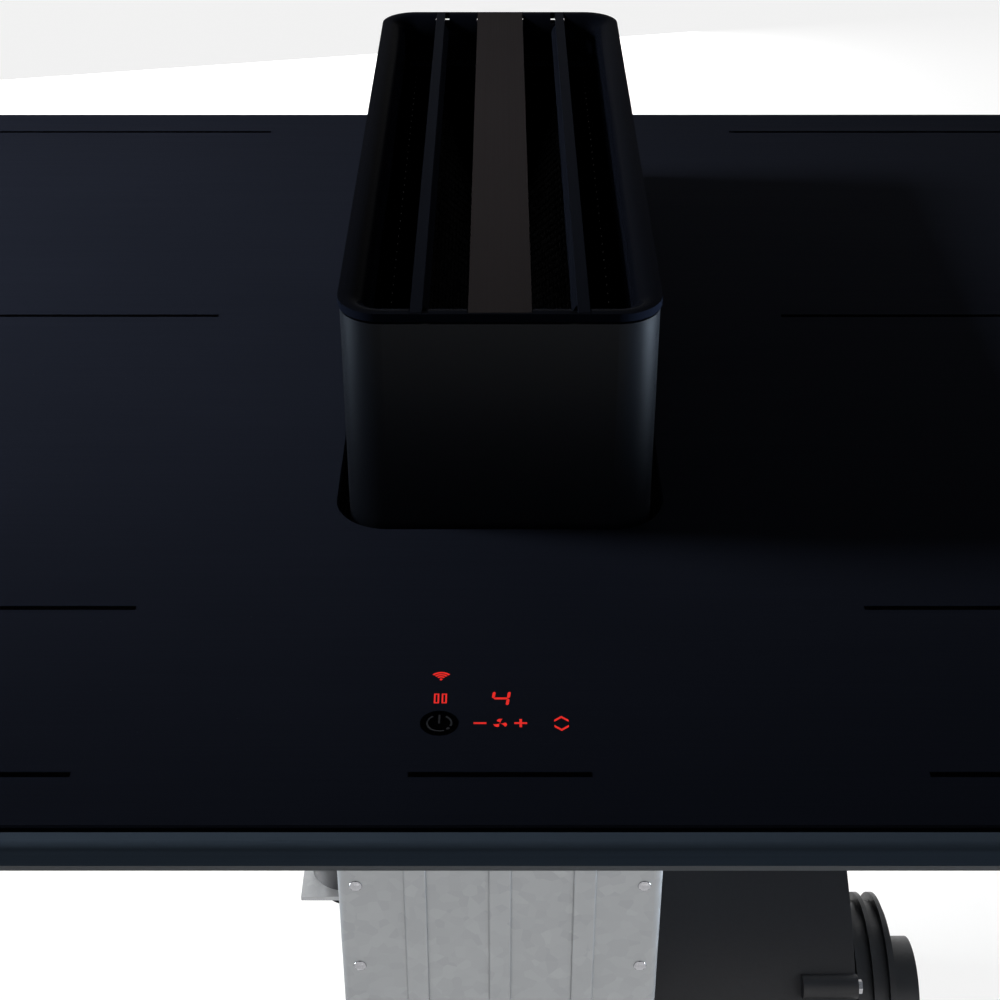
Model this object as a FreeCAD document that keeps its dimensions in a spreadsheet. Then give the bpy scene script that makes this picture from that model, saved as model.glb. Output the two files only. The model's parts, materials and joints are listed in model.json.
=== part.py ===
import FreeCAD, Part
import math
import os

import Sketcher

# Downdraft induction cooktop with a rising extractor tower.
# X points right, Y away from the cook, Z up. The origin is the middle of the cooktop on the
# worktop surface, so the glass lies above Z = 0 and the shaft, blower and modules hang below it.
# The tower is drawn at the height that the photograph shows.

DRIVING_SIZES = {
    # glass, trim and seal
    "glass_width": 880.0,
    "hob_depth": 517.0,
    "glass_thickness": 6.0,
    "glass_corner": 5.0,
    "glass_chamfer": 0.5,
    "seal_thickness": 2.0,
    "seal_width": 10.0,
    "seal_inset": 2.0,
    "seal_corner": 4.0,
    "seat_gap": 0.5,
    "wiper_gap": 0.8,
    "wiper_lip": 2.0,
    "wiper_thickness": 1.2,
    "trim_depth": 5.1,
    "trim_height": 7.0,
    "trim_gap": 2.2,
    "trim_lap": 2.0,
    "trim_round": 2.0,
    "slot_gap": 3.3,
    # tower
    "tower_width": 101.0,
    "tower_to_front": 143.2,
    "tower_to_back": 76.5,
    "tower_corner": 14.0,
    "tower_rise": 76.0,
    "tower_height": 345.0,
    "bezel_height": 2.7,
    "bezel_lip": 9.4,
    "bezel_round": 7.5,
    "neck_depth": 13.0,
    "reveal_height": 1.0,
    "shroud_inset": 0.5,
    "shroud_wall": 1.5,
    # inlet bar, vanes and their ties
    "bar_width": 19.5,
    "bar_thickness": 2.5,
    "bar_edge": 1.5,
    "keel_width": 8.0,
    "vane_outer": 27.6,
    "vane_width": 5.3,
    "vane_depth": 18.0,
    "vane_rise": 6.5,
    "vane_foot": 2.7,
    "vane_tab": 1.6,
    "end_margin": 1.0,
    "end_gap": 1.0,
    "notch_clearance": 0.3,
    "tie_width": 7.0,
    "tie_thickness": 3.0,
    # grease filters
    "filter_reach": 100.0,
    "filter_thickness": 7.0,
    "filter_side_gap": 0.8,
    "filter_cheek": 12.0,
    "filter_rail": 9.0,
    "rail_height": 3.0,
    "hanger_height": 6.0,
    "frame_wall": 1.5,
    # carriage and guides
    "plate_thickness": 4.0,
    "plate_corner": 6.0,
    "plate_ledge": 4.0,
    "plate_rim": 2.5,
    "rim_height": 8.0,
    "boss_height": 20.0,
    "boss_wall": 3.0,
    "bush_wall": 2.4,
    "bush_clearance": 0.3,
    "rod_radius": 4.0,
    "rod_spread": 30.0,
    "front_bay": 28.0,
    "rear_bay": 42.0,
    "rod_to_shroud": 14.5,
    "screw_radius": 5.5,
    "screw_to_shroud": 22.0,
    "screw_hole_gap": 1.5,
    "nut_radius": 10.0,
    "nut_height": 18.0,
    "nut_flange": 14.0,
    "nut_flange_height": 5.0,
    "nut_clearance": 0.5,
    "bearing_radius": 11.0,
    "bearing_width": 7.0,
    "bearing_gap": 0.2,
    "bracket_height": 12.0,
    "bracket_web": 5.0,
    "bracket_wall": 4.0,
    "bracket_side": 10.0,
    "bracket_gap": 6.0,
    "bracket_top_gap": 14.0,
    "bracket_foot_gap": 4.0,
    # shaft
    "shaft_side_gap": 6.0,
    "shaft_wall": 1.5,
    "shaft_depth": 450.0,
    "shaft_corner": 3.0,
    "shaft_gasket": 2.0,
    "swage_width": 8.0,
    "swage_height": 1.5,
    "swage_pitch": 30.0,
    "swage_margin": 40.0,
    "carriage_gap": 2.0,
    # drip tray
    "tray_clearance": 0.6,
    "tray_bead": 0.4,
    "bead_drop": 4.0,
    "bead_height": 2.0,
    "tray_depth": 30.0,
    "tray_wall": 2.0,
    "tray_nest": 10.0,
    "tray_flange": 2.0,
    "tray_step": 1.5,
    "tray_corner": 3.0,
    # lift drive
    "pulley_radius": 14.0,
    "pulley_width": 10.0,
    "pulley_drop": 3.0,
    "pulley_lip": 1.0,
    "belt_thickness": 1.6,
    "belt_width": 7.0,
    "belt_gap": 0.1,
    "motor_offset": 92.0,
    "motor_radius": 21.0,
    "motor_length": 78.0,
    "gearbox_length": 31.0,
    "motor_step": 3.0,
    "motor_edge": 5.0,
    "motor_socket": 8.0,
    "motor_bracket_thickness": 3.0,
    "motor_bracket_height": 40.0,
    "motor_shaft_radius": 4.0,
    "motor_shaft_tip": 6.0,
    # blower
    "blower_shift": 27.0,
    "blower_rise": 105.0,
    "wheel_radius": 80.0,
    "wheel_inner": 66.0,
    "wheel_width": 76.0,
    "wheel_gap": 7.0,
    "wheel_plate": 3.0,
    "blade_count": 36.0,
    "blade_thickness": 1.2,
    "blade_lean": 4.0,
    "blade_bulge": 2.2,
    "blade_lap": 0.4,
    "scroll_width": 92.0,
    "scroll_wall": 2.0,
    "scroll_start": 94.0,
    "scroll_step": 14.0,
    "tongue_height": 40.0,
    "corner_turn": 10.0,
    "outlet_reach": 125.0,
    "outlet_flange": 6.0,
    "lug_radius": 5.0,
    "lug_length": 23.0,
    "lug_inset": 20.0,
    "cover_bead": 3.0,
    "cover_bead_radius": 62.0,
    "inlet_radius": 61.0,
    "inlet_clearance": 0.3,
    "inlet_wall": 1.5,
    "inlet_flange": 11.0,
    "inlet_reach": 9.0,
    "blower_motor_radius": 45.0,
    "blower_motor_length": 48.0,
    "blower_can_length": 34.0,
    "blower_cap_radius": 28.0,
    "blower_shaft_radius": 5.0,
    "blower_shaft_gap": 2.0,
    "blower_shaft_tip": 8.0,
    "motor_flange": 4.0,
    "motor_flange_width": 8.0,
    "motor_fin": 2.0,
    "motor_fin_reach": 4.0,
    "motor_fin_count": 4.0,
    "hub_radius": 14.0,
    "hub_length": 24.0,
    # outlet duct
    "duct_radius": 74.5,
    "duct_wall": 2.0,
    "duct_side_gap": 3.0,
    "duct_corner": 6.0,
    "transition_length": 62.0,
    "spigot_length": 48.0,
    "spigot_flange": 4.0,
    "spigot_flange_width": 2.0,
    "flap_inset": 14.4,
    "flap_thickness": 1.2,
    "flap_clearance": 1.2,
    "knuckle_pitch": 18.6,
    "flap_pin_radius": 2.0,
    "axle_clearance": 0.1,
    # induction modules
    "module_depth": 53.0,
    "module_wall": 1.2,
    "module_corner": 4.0,
    "module_flange": 8.0,
    "module_inset": 8.0,
    "vent_count": 12.0,
    "vent_width": 3.0,
    "vent_height": 24.0,
    "vent_pitch": 9.0,
    "zone_front": 96.2,
    "zone_back": 23.5,
    "coil_margin": 7.5,
    "coil_eye": 22.0,
    "coil_thickness": 5.0,
    "coil_base": 2.0,
    "coil_bands": 3.0,
    "coil_groove": 2.0,
    "post_half": 4.0,
    "post_inset": 18.0,
    "mat_thickness": 1.2,
    "ferrite_thickness": 4.0,
    "ferrite_width": 12.0,
    "ferrite_gap": 4.0,
    "ferrite_count": 8.0,
    "sensor_radius": 5.0,
    "carrier_thickness": 2.0,
    # power boards
    "board_thickness": 1.6,
    "board_lift": 8.0,
    "board_length": 210.0,
    "board_width": 150.0,
    "board_corner": 2.0,
    "board_side_gap": 30.0,
    "board_front_gap": 15.0,
    "board_post_half": 3.0,
    "board_post_inset": 6.0,
    "part_inset": 12.0,
    "capacitor_radius": 9.0,
    "capacitor_height": 18.0,
    "capacitor_pitch": 22.0,
    "capacitor_count": 3.0,
    "choke_length": 32.0,
    "choke_width": 26.0,
    "choke_height": 14.0,
    "choke_gap": 10.0,
    "relay_length": 20.0,
    "sink_base": 4.0,
    "sink_length": 60.0,
    "sink_start": 60.0,
    "fin_height": 16.0,
    "fin_pitch": 9.0,
    "fin_thickness": 2.0,
    "fin_count": 10.0,
    # cooling fans
    "fan_to_back": 70.0,
    "fan_lift": 3.0,
    "fan_side": 80.0,
    "fan_corner": 5.0,
    "fan_height": 15.0,
    "fan_radius": 37.0,
    "fan_hub": 15.0,
    "fan_axle": 2.0,
    "fan_arm": 4.0,
    "fan_web": 2.0,
    "fan_foot": 3.0,
    "fan_slant": 5.0,
    "fan_tip_gap": 3.0,
    "fan_blades": 7.0,
    # touch control
    "control_half": 150.0,
    "control_length": 70.0,
    "control_gap": 3.7,
    "control_depth": 22.0,
    "control_wall": 2.0,
    "control_corner": 5.0,
    "control_ear": 8.0,
    "control_board_gap": 5.0,
    "chip_half": 10.0,
    "chip_height": 3.0,
    "guide_height": 9.0,
    "guide_radius": 4.0,
    "key_guide_radius": 6.0,
    "key_middle_x": 17.0,
    "key_row": 41.7,
    "digit_row": 52.5,
    "sensor_row": 63.3,
    # mains box
    "box_width": 46.0,
    "box_length": 120.0,
    "box_height": 90.0,
    "box_wall": 2.5,
    "box_corner": 4.0,
    "box_top": 120.0,
    "block_length": 50.0,
    "block_height": 20.0,
    "block_depth": 16.0,
    "gland_bore": 6.5,
    "gland_wall": 2.5,
    "gland_nut": 4.5,
    "gland_length": 14.0,
    "gland_neck": 8.0,
    "gland_inset": 30.0,
    # clamps and screws
    "clip_thickness": 1.0,
    "clip_width": 24.0,
    "clip_top": 12.0,
    "clip_leg": 10.0,
    "clip_bow": 24.0,
    "clip_bulge": 6.5,
    "clip_inset": 60.0,
    "head_radius": 3.0,
    "head_height": 2.0,
}


class Size:
    """A length that holds its number and the formula that gives it in the sheet."""

    def __init__(self, value, formula):
        self.value = value
        self.formula = formula

    def __add__(self, other):
        other = as_size(other)
        return Size(self.value + other.value, f"({self.formula} + {other.formula})")

    def __radd__(self, other):
        return as_size(other) + self

    def __sub__(self, other):
        other = as_size(other)
        return Size(self.value - other.value, f"({self.formula} - {other.formula})")

    def __rsub__(self, other):
        return as_size(other) - self

    def __mul__(self, factor):
        factor = as_size(factor)
        return Size(self.value * factor.value, f"({self.formula} * {factor.formula})")

    __rmul__ = __mul__

    def __truediv__(self, factor):
        factor = as_size(factor)
        return Size(self.value / factor.value, f"({self.formula} / {factor.formula})")

    def __neg__(self):
        return self * -1


def as_size(thing):
    if isinstance(thing, Size):
        return thing
    return Size(float(thing), f"({float(thing)})")


class SizeSheet:
    """The driving sizes, each under its own name."""


doc = FreeCAD.newDocument("downdraft_cooktop")
sheet = doc.addObject("Spreadsheet::Sheet", "sizes")
S = SizeSheet()
for row, (alias, number) in enumerate(DRIVING_SIZES.items(), start=1):
    sheet.set(f"A{row}", alias)
    sheet.set(f"B{row}", str(number))
    sheet.setAlias(f"B{row}", alias)
    setattr(S, alias, Size(number, f"sizes.{alias}"))
doc.recompute()

nodes = {}

# ---------------------------------------------------------------- drawing helpers


def bind(thing, name, amount):
    thing.setExpression(name, as_size(amount).formula)


def node(thing, label):
    """Names a finished sub-part after the piece that it is."""
    thing.Label = label
    nodes[label] = thing
    return thing


def place(thing, x=0, y=0, z=0, turn=None):
    """Puts an object at x, y, z, turned as given by an axis and an angle."""
    spots = [as_size(x), as_size(y), as_size(z)]
    rotation = FreeCAD.Rotation()
    if turn:
        rotation = FreeCAD.Rotation(FreeCAD.Vector(*turn[0]), turn[1])
    thing.Placement = FreeCAD.Placement(FreeCAD.Vector(*[spot.value for spot in spots]), rotation)
    for letter, spot in zip("xyz", spots):
        bind(thing, f"Placement.Base.{letter}", spot)
    return thing


def box(x, y, z):
    """A block between the pairs x, y and z."""
    block = doc.addObject("Part::Box", "block")
    for name, (low, high) in zip(("Length", "Width", "Height"), (x, y, z)):
        bind(block, name, as_size(high) - low)
    return place(block, x[0], y[0], z[0])


QUARTER = 90.0
TURNS = {"X": ((0, 1, 0), QUARTER), "Y": ((1, 0, 0), -QUARTER), "Z": None}


def rod(axis, x, y, z, radius, length):
    """A cylinder that starts at x, y, z and runs along the axis."""
    cylinder = doc.addObject("Part::Cylinder", "rod")
    bind(cylinder, "Radius", radius)
    bind(cylinder, "Height", length)
    return place(cylinder, x, y, z, TURNS[axis])


def cut(base, *tools):
    result = doc.addObject("Part::Cut", "cut")
    result.Base = base
    result.Tool = tools[0] if len(tools) == 1 else group(*tools)
    return result


def fuse(*things):
    result = doc.addObject("Part::MultiFuse", "fused")
    result.Shapes = list(things)
    result.Refine = True
    return result


def group(*things):
    """Separate solids kept together, such as a set of screws."""
    result = doc.addObject("Part::Compound", "set")
    result.Links = list(things)
    return result


def tube(axis, x, y, z, radius, bore, length):
    margin = 1.0
    shift = {"X": (margin, 0, 0), "Y": (0, margin, 0), "Z": (0, 0, margin)}[axis]
    start = [as_size(at) - step for at, step in zip((x, y, z), shift)]
    hole = rod(axis, *start, bore, length + 2 * margin)
    return cut(rod(axis, x, y, z, radius, length), hole)


def new_body(name):
    return doc.addObject("PartDesign::Body", name)


PLANES = {"X": "YZ_Plane", "Y": "XZ_Plane", "Z": "XY_Plane"}


def sketch_at(body, axis, at):
    """A sketch square to the axis, at that distance along it."""
    sketch = body.newObject("Sketcher::SketchObject", "outline")
    plane = [part for part in body.Origin.OriginFeatures if part.Role == PLANES[axis]][0]
    sketch.AttachmentSupport = (plane, [""])
    sketch.MapMode = "FlatFace"
    at = as_size(at)
    bind(sketch, ".AttachmentOffset.Base.z", -at if axis == "Y" else at)
    return sketch


def pin(sketch, element, end, point):
    """Fixes one end of an element at a point of the sketch."""
    for kind, amount in zip(("DistanceX", "DistanceY"), point):
        amount = as_size(amount)
        index = sketch.addConstraint(Sketcher.Constraint(kind, -1, 1, element, end, amount.value))
        bind(sketch, f"Constraints[{index}]", amount)


def fix_radius(sketch, element, radius):
    radius = as_size(radius)
    index = sketch.addConstraint(Sketcher.Constraint("Radius", element, radius.value))
    bind(sketch, f"Constraints[{index}]", radius)


def flat(point):
    return FreeCAD.Vector(as_size(point[0]).value, as_size(point[1]).value, 0)


def step_towards(start, end):
    """The sketch direction, along one axis, from a corner to the next."""
    way = flat(end) - flat(start)
    if abs(way.x) > abs(way.y):
        return (math.copysign(1, way.x), 0)
    return (0, math.copysign(1, way.y))


def moved(point, way, amount):
    return tuple(as_size(at) + amount * step if step else at for at, step in zip(point, way))


def draw(sketch, corners):
    """A closed outline. A corner (x, y, radius) is rounded between sides along the axes."""
    stops = []
    for index, corner in enumerate(corners):
        spot = corner[:2]
        if len(corner) == 2:
            stops.append((spot, None))
            continue
        radius = as_size(corner[2])
        back = step_towards(spot, corners[index - 1][:2])
        ahead = step_towards(spot, corners[(index + 1) % len(corners)][:2])
        side = 1 if back[1] * ahead[0] - back[0] * ahead[1] > 0 else -1
        stops.append((moved(spot, back, radius), (radius, side)))
        stops.append((moved(spot, ahead, radius), None))
    draw_loop(sketch, stops)


def draw_loop(sketch, stops):
    """A closed outline of stops (point, bend). A bend (radius, side) makes an arc of less than
    half a turn to the next stop, with its middle on the left (1) or on the right (-1)."""
    pieces = []
    for index, (start, bend) in enumerate(stops):
        end = stops[(index + 1) % len(stops)][0]
        if bend is None:
            element = sketch.addGeometry(Part.LineSegment(flat(start), flat(end)))
            first, last = 1, 2
        else:
            radius, side = bend
            element = add_arc(sketch, flat(start), flat(end), as_size(radius).value, side)
            first, last = (1, 2) if side > 0 else (2, 1)
            fix_radius(sketch, element, radius)
        pin(sketch, element, first, start)
        pieces.append((element, first, last))
    for index, (element, _, last) in enumerate(pieces):
        following, first, _ = pieces[(index + 1) % len(pieces)]
        sketch.addConstraint(Sketcher.Constraint("Coincident", element, last, following, first))


def add_arc(sketch, start, end, radius, side):
    """An arc round a middle on the left (side 1) or the right (side -1) of its chord."""
    chord = end - start
    across = FreeCAD.Vector(-chord.y, chord.x, 0).normalize()
    rise = math.sqrt(max(radius ** 2 - (chord.Length / 2) ** 2, 0.0))
    centre = start + chord * 0.5 + across * (rise * side)
    ends = (start, end) if side > 0 else (end, start)
    angles = [math.atan2(point.y - centre.y, point.x - centre.x) for point in ends]
    circle = Part.Circle(centre, FreeCAD.Vector(0, 0, 1), radius)
    return sketch.addGeometry(Part.ArcOfCircle(circle, *angles))


def bulge_radius(start, end, bulge):
    """The radius of an arc whose middle stands off its chord by the bulge."""
    across = as_size(end[0]) - start[0]
    along = as_size(end[1]) - start[1]
    return ((across * across + along * along) / 4 + bulge * bulge) / (2 * bulge)


def draw_circle(sketch, x, y, radius):
    circle = Part.Circle(flat((x, y)), FreeCAD.Vector(0, 0, 1), as_size(radius).value)
    element = sketch.addGeometry(circle)
    pin(sketch, element, 3, (x, y))
    fix_radius(sketch, element, radius)


def rectangle(left, right, front, back, radius=None):
    corners = [(left, front), (right, front), (right, back), (left, back)]
    if radius is None:
        return corners
    return [corner + (radius,) for corner in corners]


def square(x, y, half):
    return rectangle(x - half, x + half, y - half, y + half)


def pad(body, axis, low, high, *outlines):
    """Adds the outlines' area between two distances along the axis. A triple is a circle."""
    sketch = sketch_at(body, axis, high if axis == "Y" else low)
    feature = body.newObject("PartDesign::Pad", "pad")
    return finish_prism(sketch, feature, as_size(high) - low, outlines)


def pocket(body, axis, low, high, *outlines):
    """Takes the outlines' area away between two distances along the axis."""
    sketch = sketch_at(body, axis, low if axis == "Y" else high)
    feature = body.newObject("PartDesign::Pocket", "pocket")
    return finish_prism(sketch, feature, as_size(high) - low, outlines)


def finish_prism(sketch, feature, length, outlines):
    for outline in outlines:
        if isinstance(outline, tuple):
            draw_circle(sketch, *outline)
        else:
            draw(sketch, outline)
    feature.Profile = sketch
    bind(feature, "Length", length)
    return feature


def plate(name, axis, low, high, *outlines):
    """A sub-part of one thickness."""
    body = new_body(name)
    pad(body, axis, low, high, *outlines)
    return body


def spin(name, outlines):
    """A turned sub-part round its own Z axis; outlines are drawn with radius and height."""
    body = new_body(name)
    sketch = sketch_at(body, "Y", 0)
    for outline in outlines:
        draw(sketch, outline)
    turned = body.newObject("PartDesign::Revolution", "turned")
    turned.Profile = sketch
    turned.ReferenceAxis = (sketch, ["V_Axis"])
    turned.Angle = 360
    return body


# ---------------------------------------------------------------- shared places

glass_half = S.glass_width / 2
hob_front = S.hob_depth / -2
hob_back = S.hob_depth / 2
glass_under = S.seal_thickness
glass_top = S.seal_thickness + S.glass_thickness
glass_front = hob_front + S.trim_depth + S.trim_gap

tower_half = S.tower_width / 2
tower_front = glass_front + S.tower_to_front
tower_back = hob_back - S.tower_to_back
tower_middle = (tower_front + tower_back) / 2
tower_top = glass_top + S.tower_rise
tower_bottom = tower_top - S.tower_height

bezel_under = tower_top - S.bezel_height
shroud_top = bezel_under - S.reveal_height
shroud_half = tower_half - S.shroud_inset
shroud_front = tower_front + S.shroud_inset
shroud_back = tower_back - S.shroud_inset
shroud_corner = S.tower_corner - S.shroud_inset
bore_half = shroud_half - S.shroud_wall
bore_front = shroud_front + S.shroud_wall
bore_back = shroud_back - S.shroud_wall
bore_corner = shroud_corner - S.shroud_wall
opening_half = tower_half - S.bezel_lip
opening_front = tower_front + S.bezel_lip
opening_back = tower_back - S.bezel_lip
opening_corner = S.tower_corner - S.bezel_lip
neck_under = bezel_under - S.neck_depth
vane_under = tower_top - S.vane_depth
inlet_front = opening_front + S.end_gap
inlet_back = opening_back - S.end_gap
cassette_inset = S.filter_side_gap + opening_corner * (1 - math.sqrt(0.5))
cassette_half = opening_half - cassette_inset
cassette_front = opening_front + cassette_inset
cassette_back = opening_back - cassette_inset

shaft_half = shroud_half + S.shaft_side_gap
shaft_front = shroud_front - S.front_bay
shaft_back = shroud_back + S.rear_bay
shaft_outer = shaft_half + S.shaft_wall
shaft_floor = -S.shaft_depth
shaft_foot = shaft_floor - S.shaft_wall
shaft_top = glass_under - S.shaft_gasket
front_rod_y = shroud_front - S.rod_to_shroud
rear_rod_y = shroud_back + S.rod_to_shroud
screw_y = shroud_back + S.screw_to_shroud
upper_bracket_top = glass_under - S.bracket_top_gap
upper_bracket_under = upper_bracket_top - S.bracket_height
lower_bracket_under = shaft_floor + S.tray_nest + S.bracket_foot_gap
rear_floor_front = bore_back
drive_low = shaft_foot - S.pulley_drop - S.pulley_width

seat_front = glass_front + S.seal_inset + S.seal_width + S.seat_gap
seat_back = hob_back - S.seal_inset - S.seal_width - S.seat_gap
seat_half = glass_half - S.seal_inset - S.seal_width - S.seat_gap
control_front = seat_front
control_back = control_front + S.control_length
module_front = control_back + S.control_gap
module_back = seat_back - S.module_flange
module_outer = seat_half - S.module_flange
module_top = glass_under
module_floor = -S.module_depth

scroll_low = shaft_outer
scroll_high = scroll_low + S.scroll_width
blower_y = tower_middle - S.blower_shift
blower_z = shaft_floor + S.blower_rise
outlet_y = blower_y + S.outlet_reach
outlet_low_z = blower_z + S.tongue_height
outlet_high_z = blower_z + S.scroll_start + S.scroll_step * 2.5
duct_x = shaft_outer + S.duct_side_gap + S.duct_radius
duct_z = (outlet_low_z + outlet_high_z) / 2
transition_end = outlet_y + S.transition_length

zone_pitch = (hob_back - S.zone_back - glass_front - S.zone_front) / 2
zone_front_y = glass_front + S.zone_front + zone_pitch / 2
zone_rear_y = zone_front_y + zone_pitch
zone_middle_x = (shaft_outer + module_outer) / 2
coil_radius = zone_pitch / 2 - S.coil_margin
coil_high = glass_under - S.mat_thickness
coil_low = coil_high - S.coil_thickness
ferrite_low = coil_low - S.ferrite_thickness
carrier_low = ferrite_low - S.carrier_thickness
tray_inside = module_floor + S.module_wall
board_low = tray_inside + S.board_lift
fan_y = module_back - S.fan_to_back
fan_low = tray_inside + S.fan_lift

# ---------------------------------------------------------------- glass and rim


def make_glass():
    """The glass with the tower's slot, its top edges ground to a small chamfer."""
    body = new_body("glass_plate")
    outline = [(-glass_half, glass_front), (glass_half, glass_front),
               (glass_half, hob_back, S.glass_corner), (-glass_half, hob_back, S.glass_corner)]
    slab = pad(body, "Z", glass_under, glass_top, outline, around_tower(S.slot_gap))
    doc.recompute()
    ground = body.newObject("PartDesign::Chamfer", "ground_edges")
    ground.Base = (slab, rim_edges(slab, glass_top, (-glass_half, glass_half, glass_front,
                                                     hob_back)))
    bind(ground, "Size", S.glass_chamfer)
    node(body, "glass_plate")


def make_trim():
    """A rounded strip whose foot reaches under the front edge of the glass."""
    body = new_body("front_trim")
    back = hob_front + S.trim_depth
    foot = glass_top - S.trim_height
    reach = glass_front + S.trim_lap
    profile = [(hob_front, foot), (reach, foot), (reach, glass_under), (back, glass_under),
               (back, glass_top), (hob_front, glass_top, S.trim_round)]
    pad(body, "X", -glass_half, glass_half, profile)
    node(body, "front_trim")


def make_rim_seal():
    outer = glass_half - S.seal_inset
    front = glass_front + S.seal_inset
    back = hob_back - S.seal_inset
    inner = outer - S.seal_width
    body = plate("rim_seal", "Z", 0, S.seal_thickness,
                 rectangle(-outer, outer, front, back, S.seal_corner),
                 rectangle(-inner, inner, front + S.seal_width, back - S.seal_width,
                           S.seal_corner / 2))
    node(body, "rim_seal")


def around_tower(gap):
    """The tower's outline grown by a gap."""
    return rectangle(-tower_half - gap, tower_half + gap, tower_front - gap, tower_back + gap,
                     S.tower_corner + gap)


def make_wiper():
    """A soft gasket on the shaft's top edge, with a lip that stands up beside the tower."""
    body = new_body("slot_wiper")
    pad(body, "Z", shaft_top, glass_under,
        rectangle(-shaft_outer, shaft_outer, shaft_front - S.shaft_wall,
                  shaft_back + S.shaft_wall, S.shaft_corner), around_tower(S.wiper_gap))
    pad(body, "Z", glass_under, glass_under + S.wiper_lip,
        around_tower(S.slot_gap), around_tower(S.slot_gap - S.wiper_thickness))
    node(body, "slot_wiper")


# ---------------------------------------------------------------- tower


def make_shroud():
    body = plate("tower_shroud", "Z", tower_bottom, shroud_top,
                 rectangle(-shroud_half, shroud_half, shroud_front, shroud_back, shroud_corner),
                 rectangle(-bore_half, bore_half, bore_front, bore_back, bore_corner))
    node(body, "tower_shroud")


def make_bezel():
    """The rim: a flange, a neck that plugs into the shroud and a rounded mouth."""
    body = new_body("tower_bezel")
    pad(body, "Z", neck_under, tower_top,
        rectangle(-bore_half, bore_half, bore_front, bore_back, bore_corner))
    pad(body, "Z", bezel_under, tower_top, around_tower(as_size(0.0)))
    mouth = pocket(body, "Z", neck_under, tower_top,
                   rectangle(-opening_half, opening_half, opening_front, opening_back,
                             opening_corner))
    doc.recompute()
    rim = rim_edges(mouth, tower_top, (-opening_half, opening_half, opening_front, opening_back))
    rounding = body.newObject("PartDesign::Fillet", "rounding")
    rounding.Base = (mouth, rim)
    bind(rounding, "Radius", S.bezel_round)
    clear = S.notch_clearance
    for left, right in inlet_strips():
        pocket(body, "Z", tower_top - S.bar_thickness - clear, tower_top,
               rectangle(left - clear, right + clear, tower_front + S.end_margin - clear,
                         tower_back - S.end_margin + clear))
    node(body, "tower_bezel")


def rim_edges(feature, height, limits):
    """Edges at one height that lie inside the left, right, front and back limits."""
    left, right, front, back = [limit.value for limit in limits]
    slack = 0.01
    names = []
    for index, edge in enumerate(feature.Shape.Edges, start=1):
        reach = edge.BoundBox
        level = max(abs(reach.ZMin - height.value), abs(reach.ZMax - height.value)) < slack
        across = reach.XMin > left - slack and reach.XMax < right + slack
        along = reach.YMin > front - slack and reach.YMax < back + slack
        if level and across and along:
            names.append(f"Edge{index}")
    return names


def inlet_strips():
    """Left and right sides of the bar and of the two vanes."""
    inner = S.vane_outer - S.vane_width
    return [(S.bar_width / -2, S.bar_width / 2), (-S.vane_outer, -inner), (inner, S.vane_outer)]


def make_inlet_bar():
    """The flat bar, with a tapered keel that stands on the ties."""
    body = new_body("inlet_bar")
    low = tower_top - S.bar_thickness
    half = S.bar_width / 2
    pad(body, "Z", low, tower_top,
        rectangle(-half, half, tower_front + S.end_margin, tower_back - S.end_margin))
    keel = [(S.bar_edge - half, low), (S.keel_width / -2, vane_under),
            (S.keel_width / 2, vane_under), (half - S.bar_edge, low)]
    pad(body, "Y", inlet_front, inlet_back, keel)
    node(body, "inlet_bar")


def make_vane(side, name):
    """A guide vane: sharp outer face, rounded inner face, tabs in the rim's notches."""
    body = new_body(name)
    outer = S.vane_outer * side
    inner = (S.vane_outer - S.vane_width) * side
    tab = inner + S.vane_tab * side
    left, right = (tab, outer) if side > 0 else (outer, tab)
    pad(body, "Z", tower_top - S.bar_thickness, tower_top,
        rectangle(left, right, tower_front + S.end_margin, tower_back - S.end_margin))
    sketch = sketch_at(body, "Y", inlet_back)
    rise = S.vane_rise
    radius = (S.vane_width * S.vane_width + rise * rise) / (2 * S.vane_width)
    draw_loop(sketch, [((outer, tower_top), None), ((outer, vane_under), None),
                       ((outer - S.vane_foot * side, vane_under), None),
                       ((inner, tower_top - rise), (radius, -side))])
    blade = body.newObject("PartDesign::Pad", "blade")
    blade.Profile = sketch
    bind(blade, "Length", inlet_back - inlet_front)
    node(body, name)


def make_cross_ties():
    """Two flat ties under the ends of bar and vanes."""
    ties = []
    for front in (cassette_front, cassette_back - S.tie_width):
        ties.append(box((-cassette_half, cassette_half), (front, front + S.tie_width),
                        (vane_under - S.tie_thickness, vane_under)))
    node(group(*ties), "cross_ties")


def make_filters():
    """Two grease filter panels in a V under the ties, in an open frame with end cheeks."""
    reach = cassette_half
    high = vane_under - S.tie_thickness
    low = high - S.filter_reach
    wall = S.frame_wall
    rail = S.filter_rail
    shoulder = high - S.filter_cheek
    hanger = high - S.hanger_height
    frame = new_body("filter_frame")
    cheek = [(-reach, high), (-reach, shoulder), (-rail, low), (rail, low), (reach, shoulder),
             (reach, high)]
    for front in (cassette_front, cassette_back - wall):
        pad(frame, "Y", front, front + wall, cheek)
    pad(frame, "Y", cassette_front, cassette_back, rectangle(-rail, rail, low, low + S.rail_height))
    for side in (-1, 1):
        left, right = sided(side, reach - wall * 2, reach)
        pad(frame, "Y", cassette_front, cassette_back, rectangle(left, right, hanger, high))
    node(frame, "filter_frame")
    panels = []
    for side in (-1, 1):
        top_out = (reach - wall * 2) * side
        top_in = top_out - S.filter_thickness * side
        low_in = wall * side
        low_out = low_in + S.filter_thickness * side
        outline = [(top_out, high), (top_in, high), (low_in, low + S.rail_height),
                   (low_out, low + S.rail_height)]
        panels.append(plate("filter_panel", "Y", cassette_front + wall, cassette_back - wall, outline))
    node(group(*panels), "filter_panels")


def sided(side, near, far):
    """The pair of X values from near to far on one side, lower first."""
    return (near, far) if side > 0 else (-far, -near)


# ---------------------------------------------------------------- carriage and guides


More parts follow.
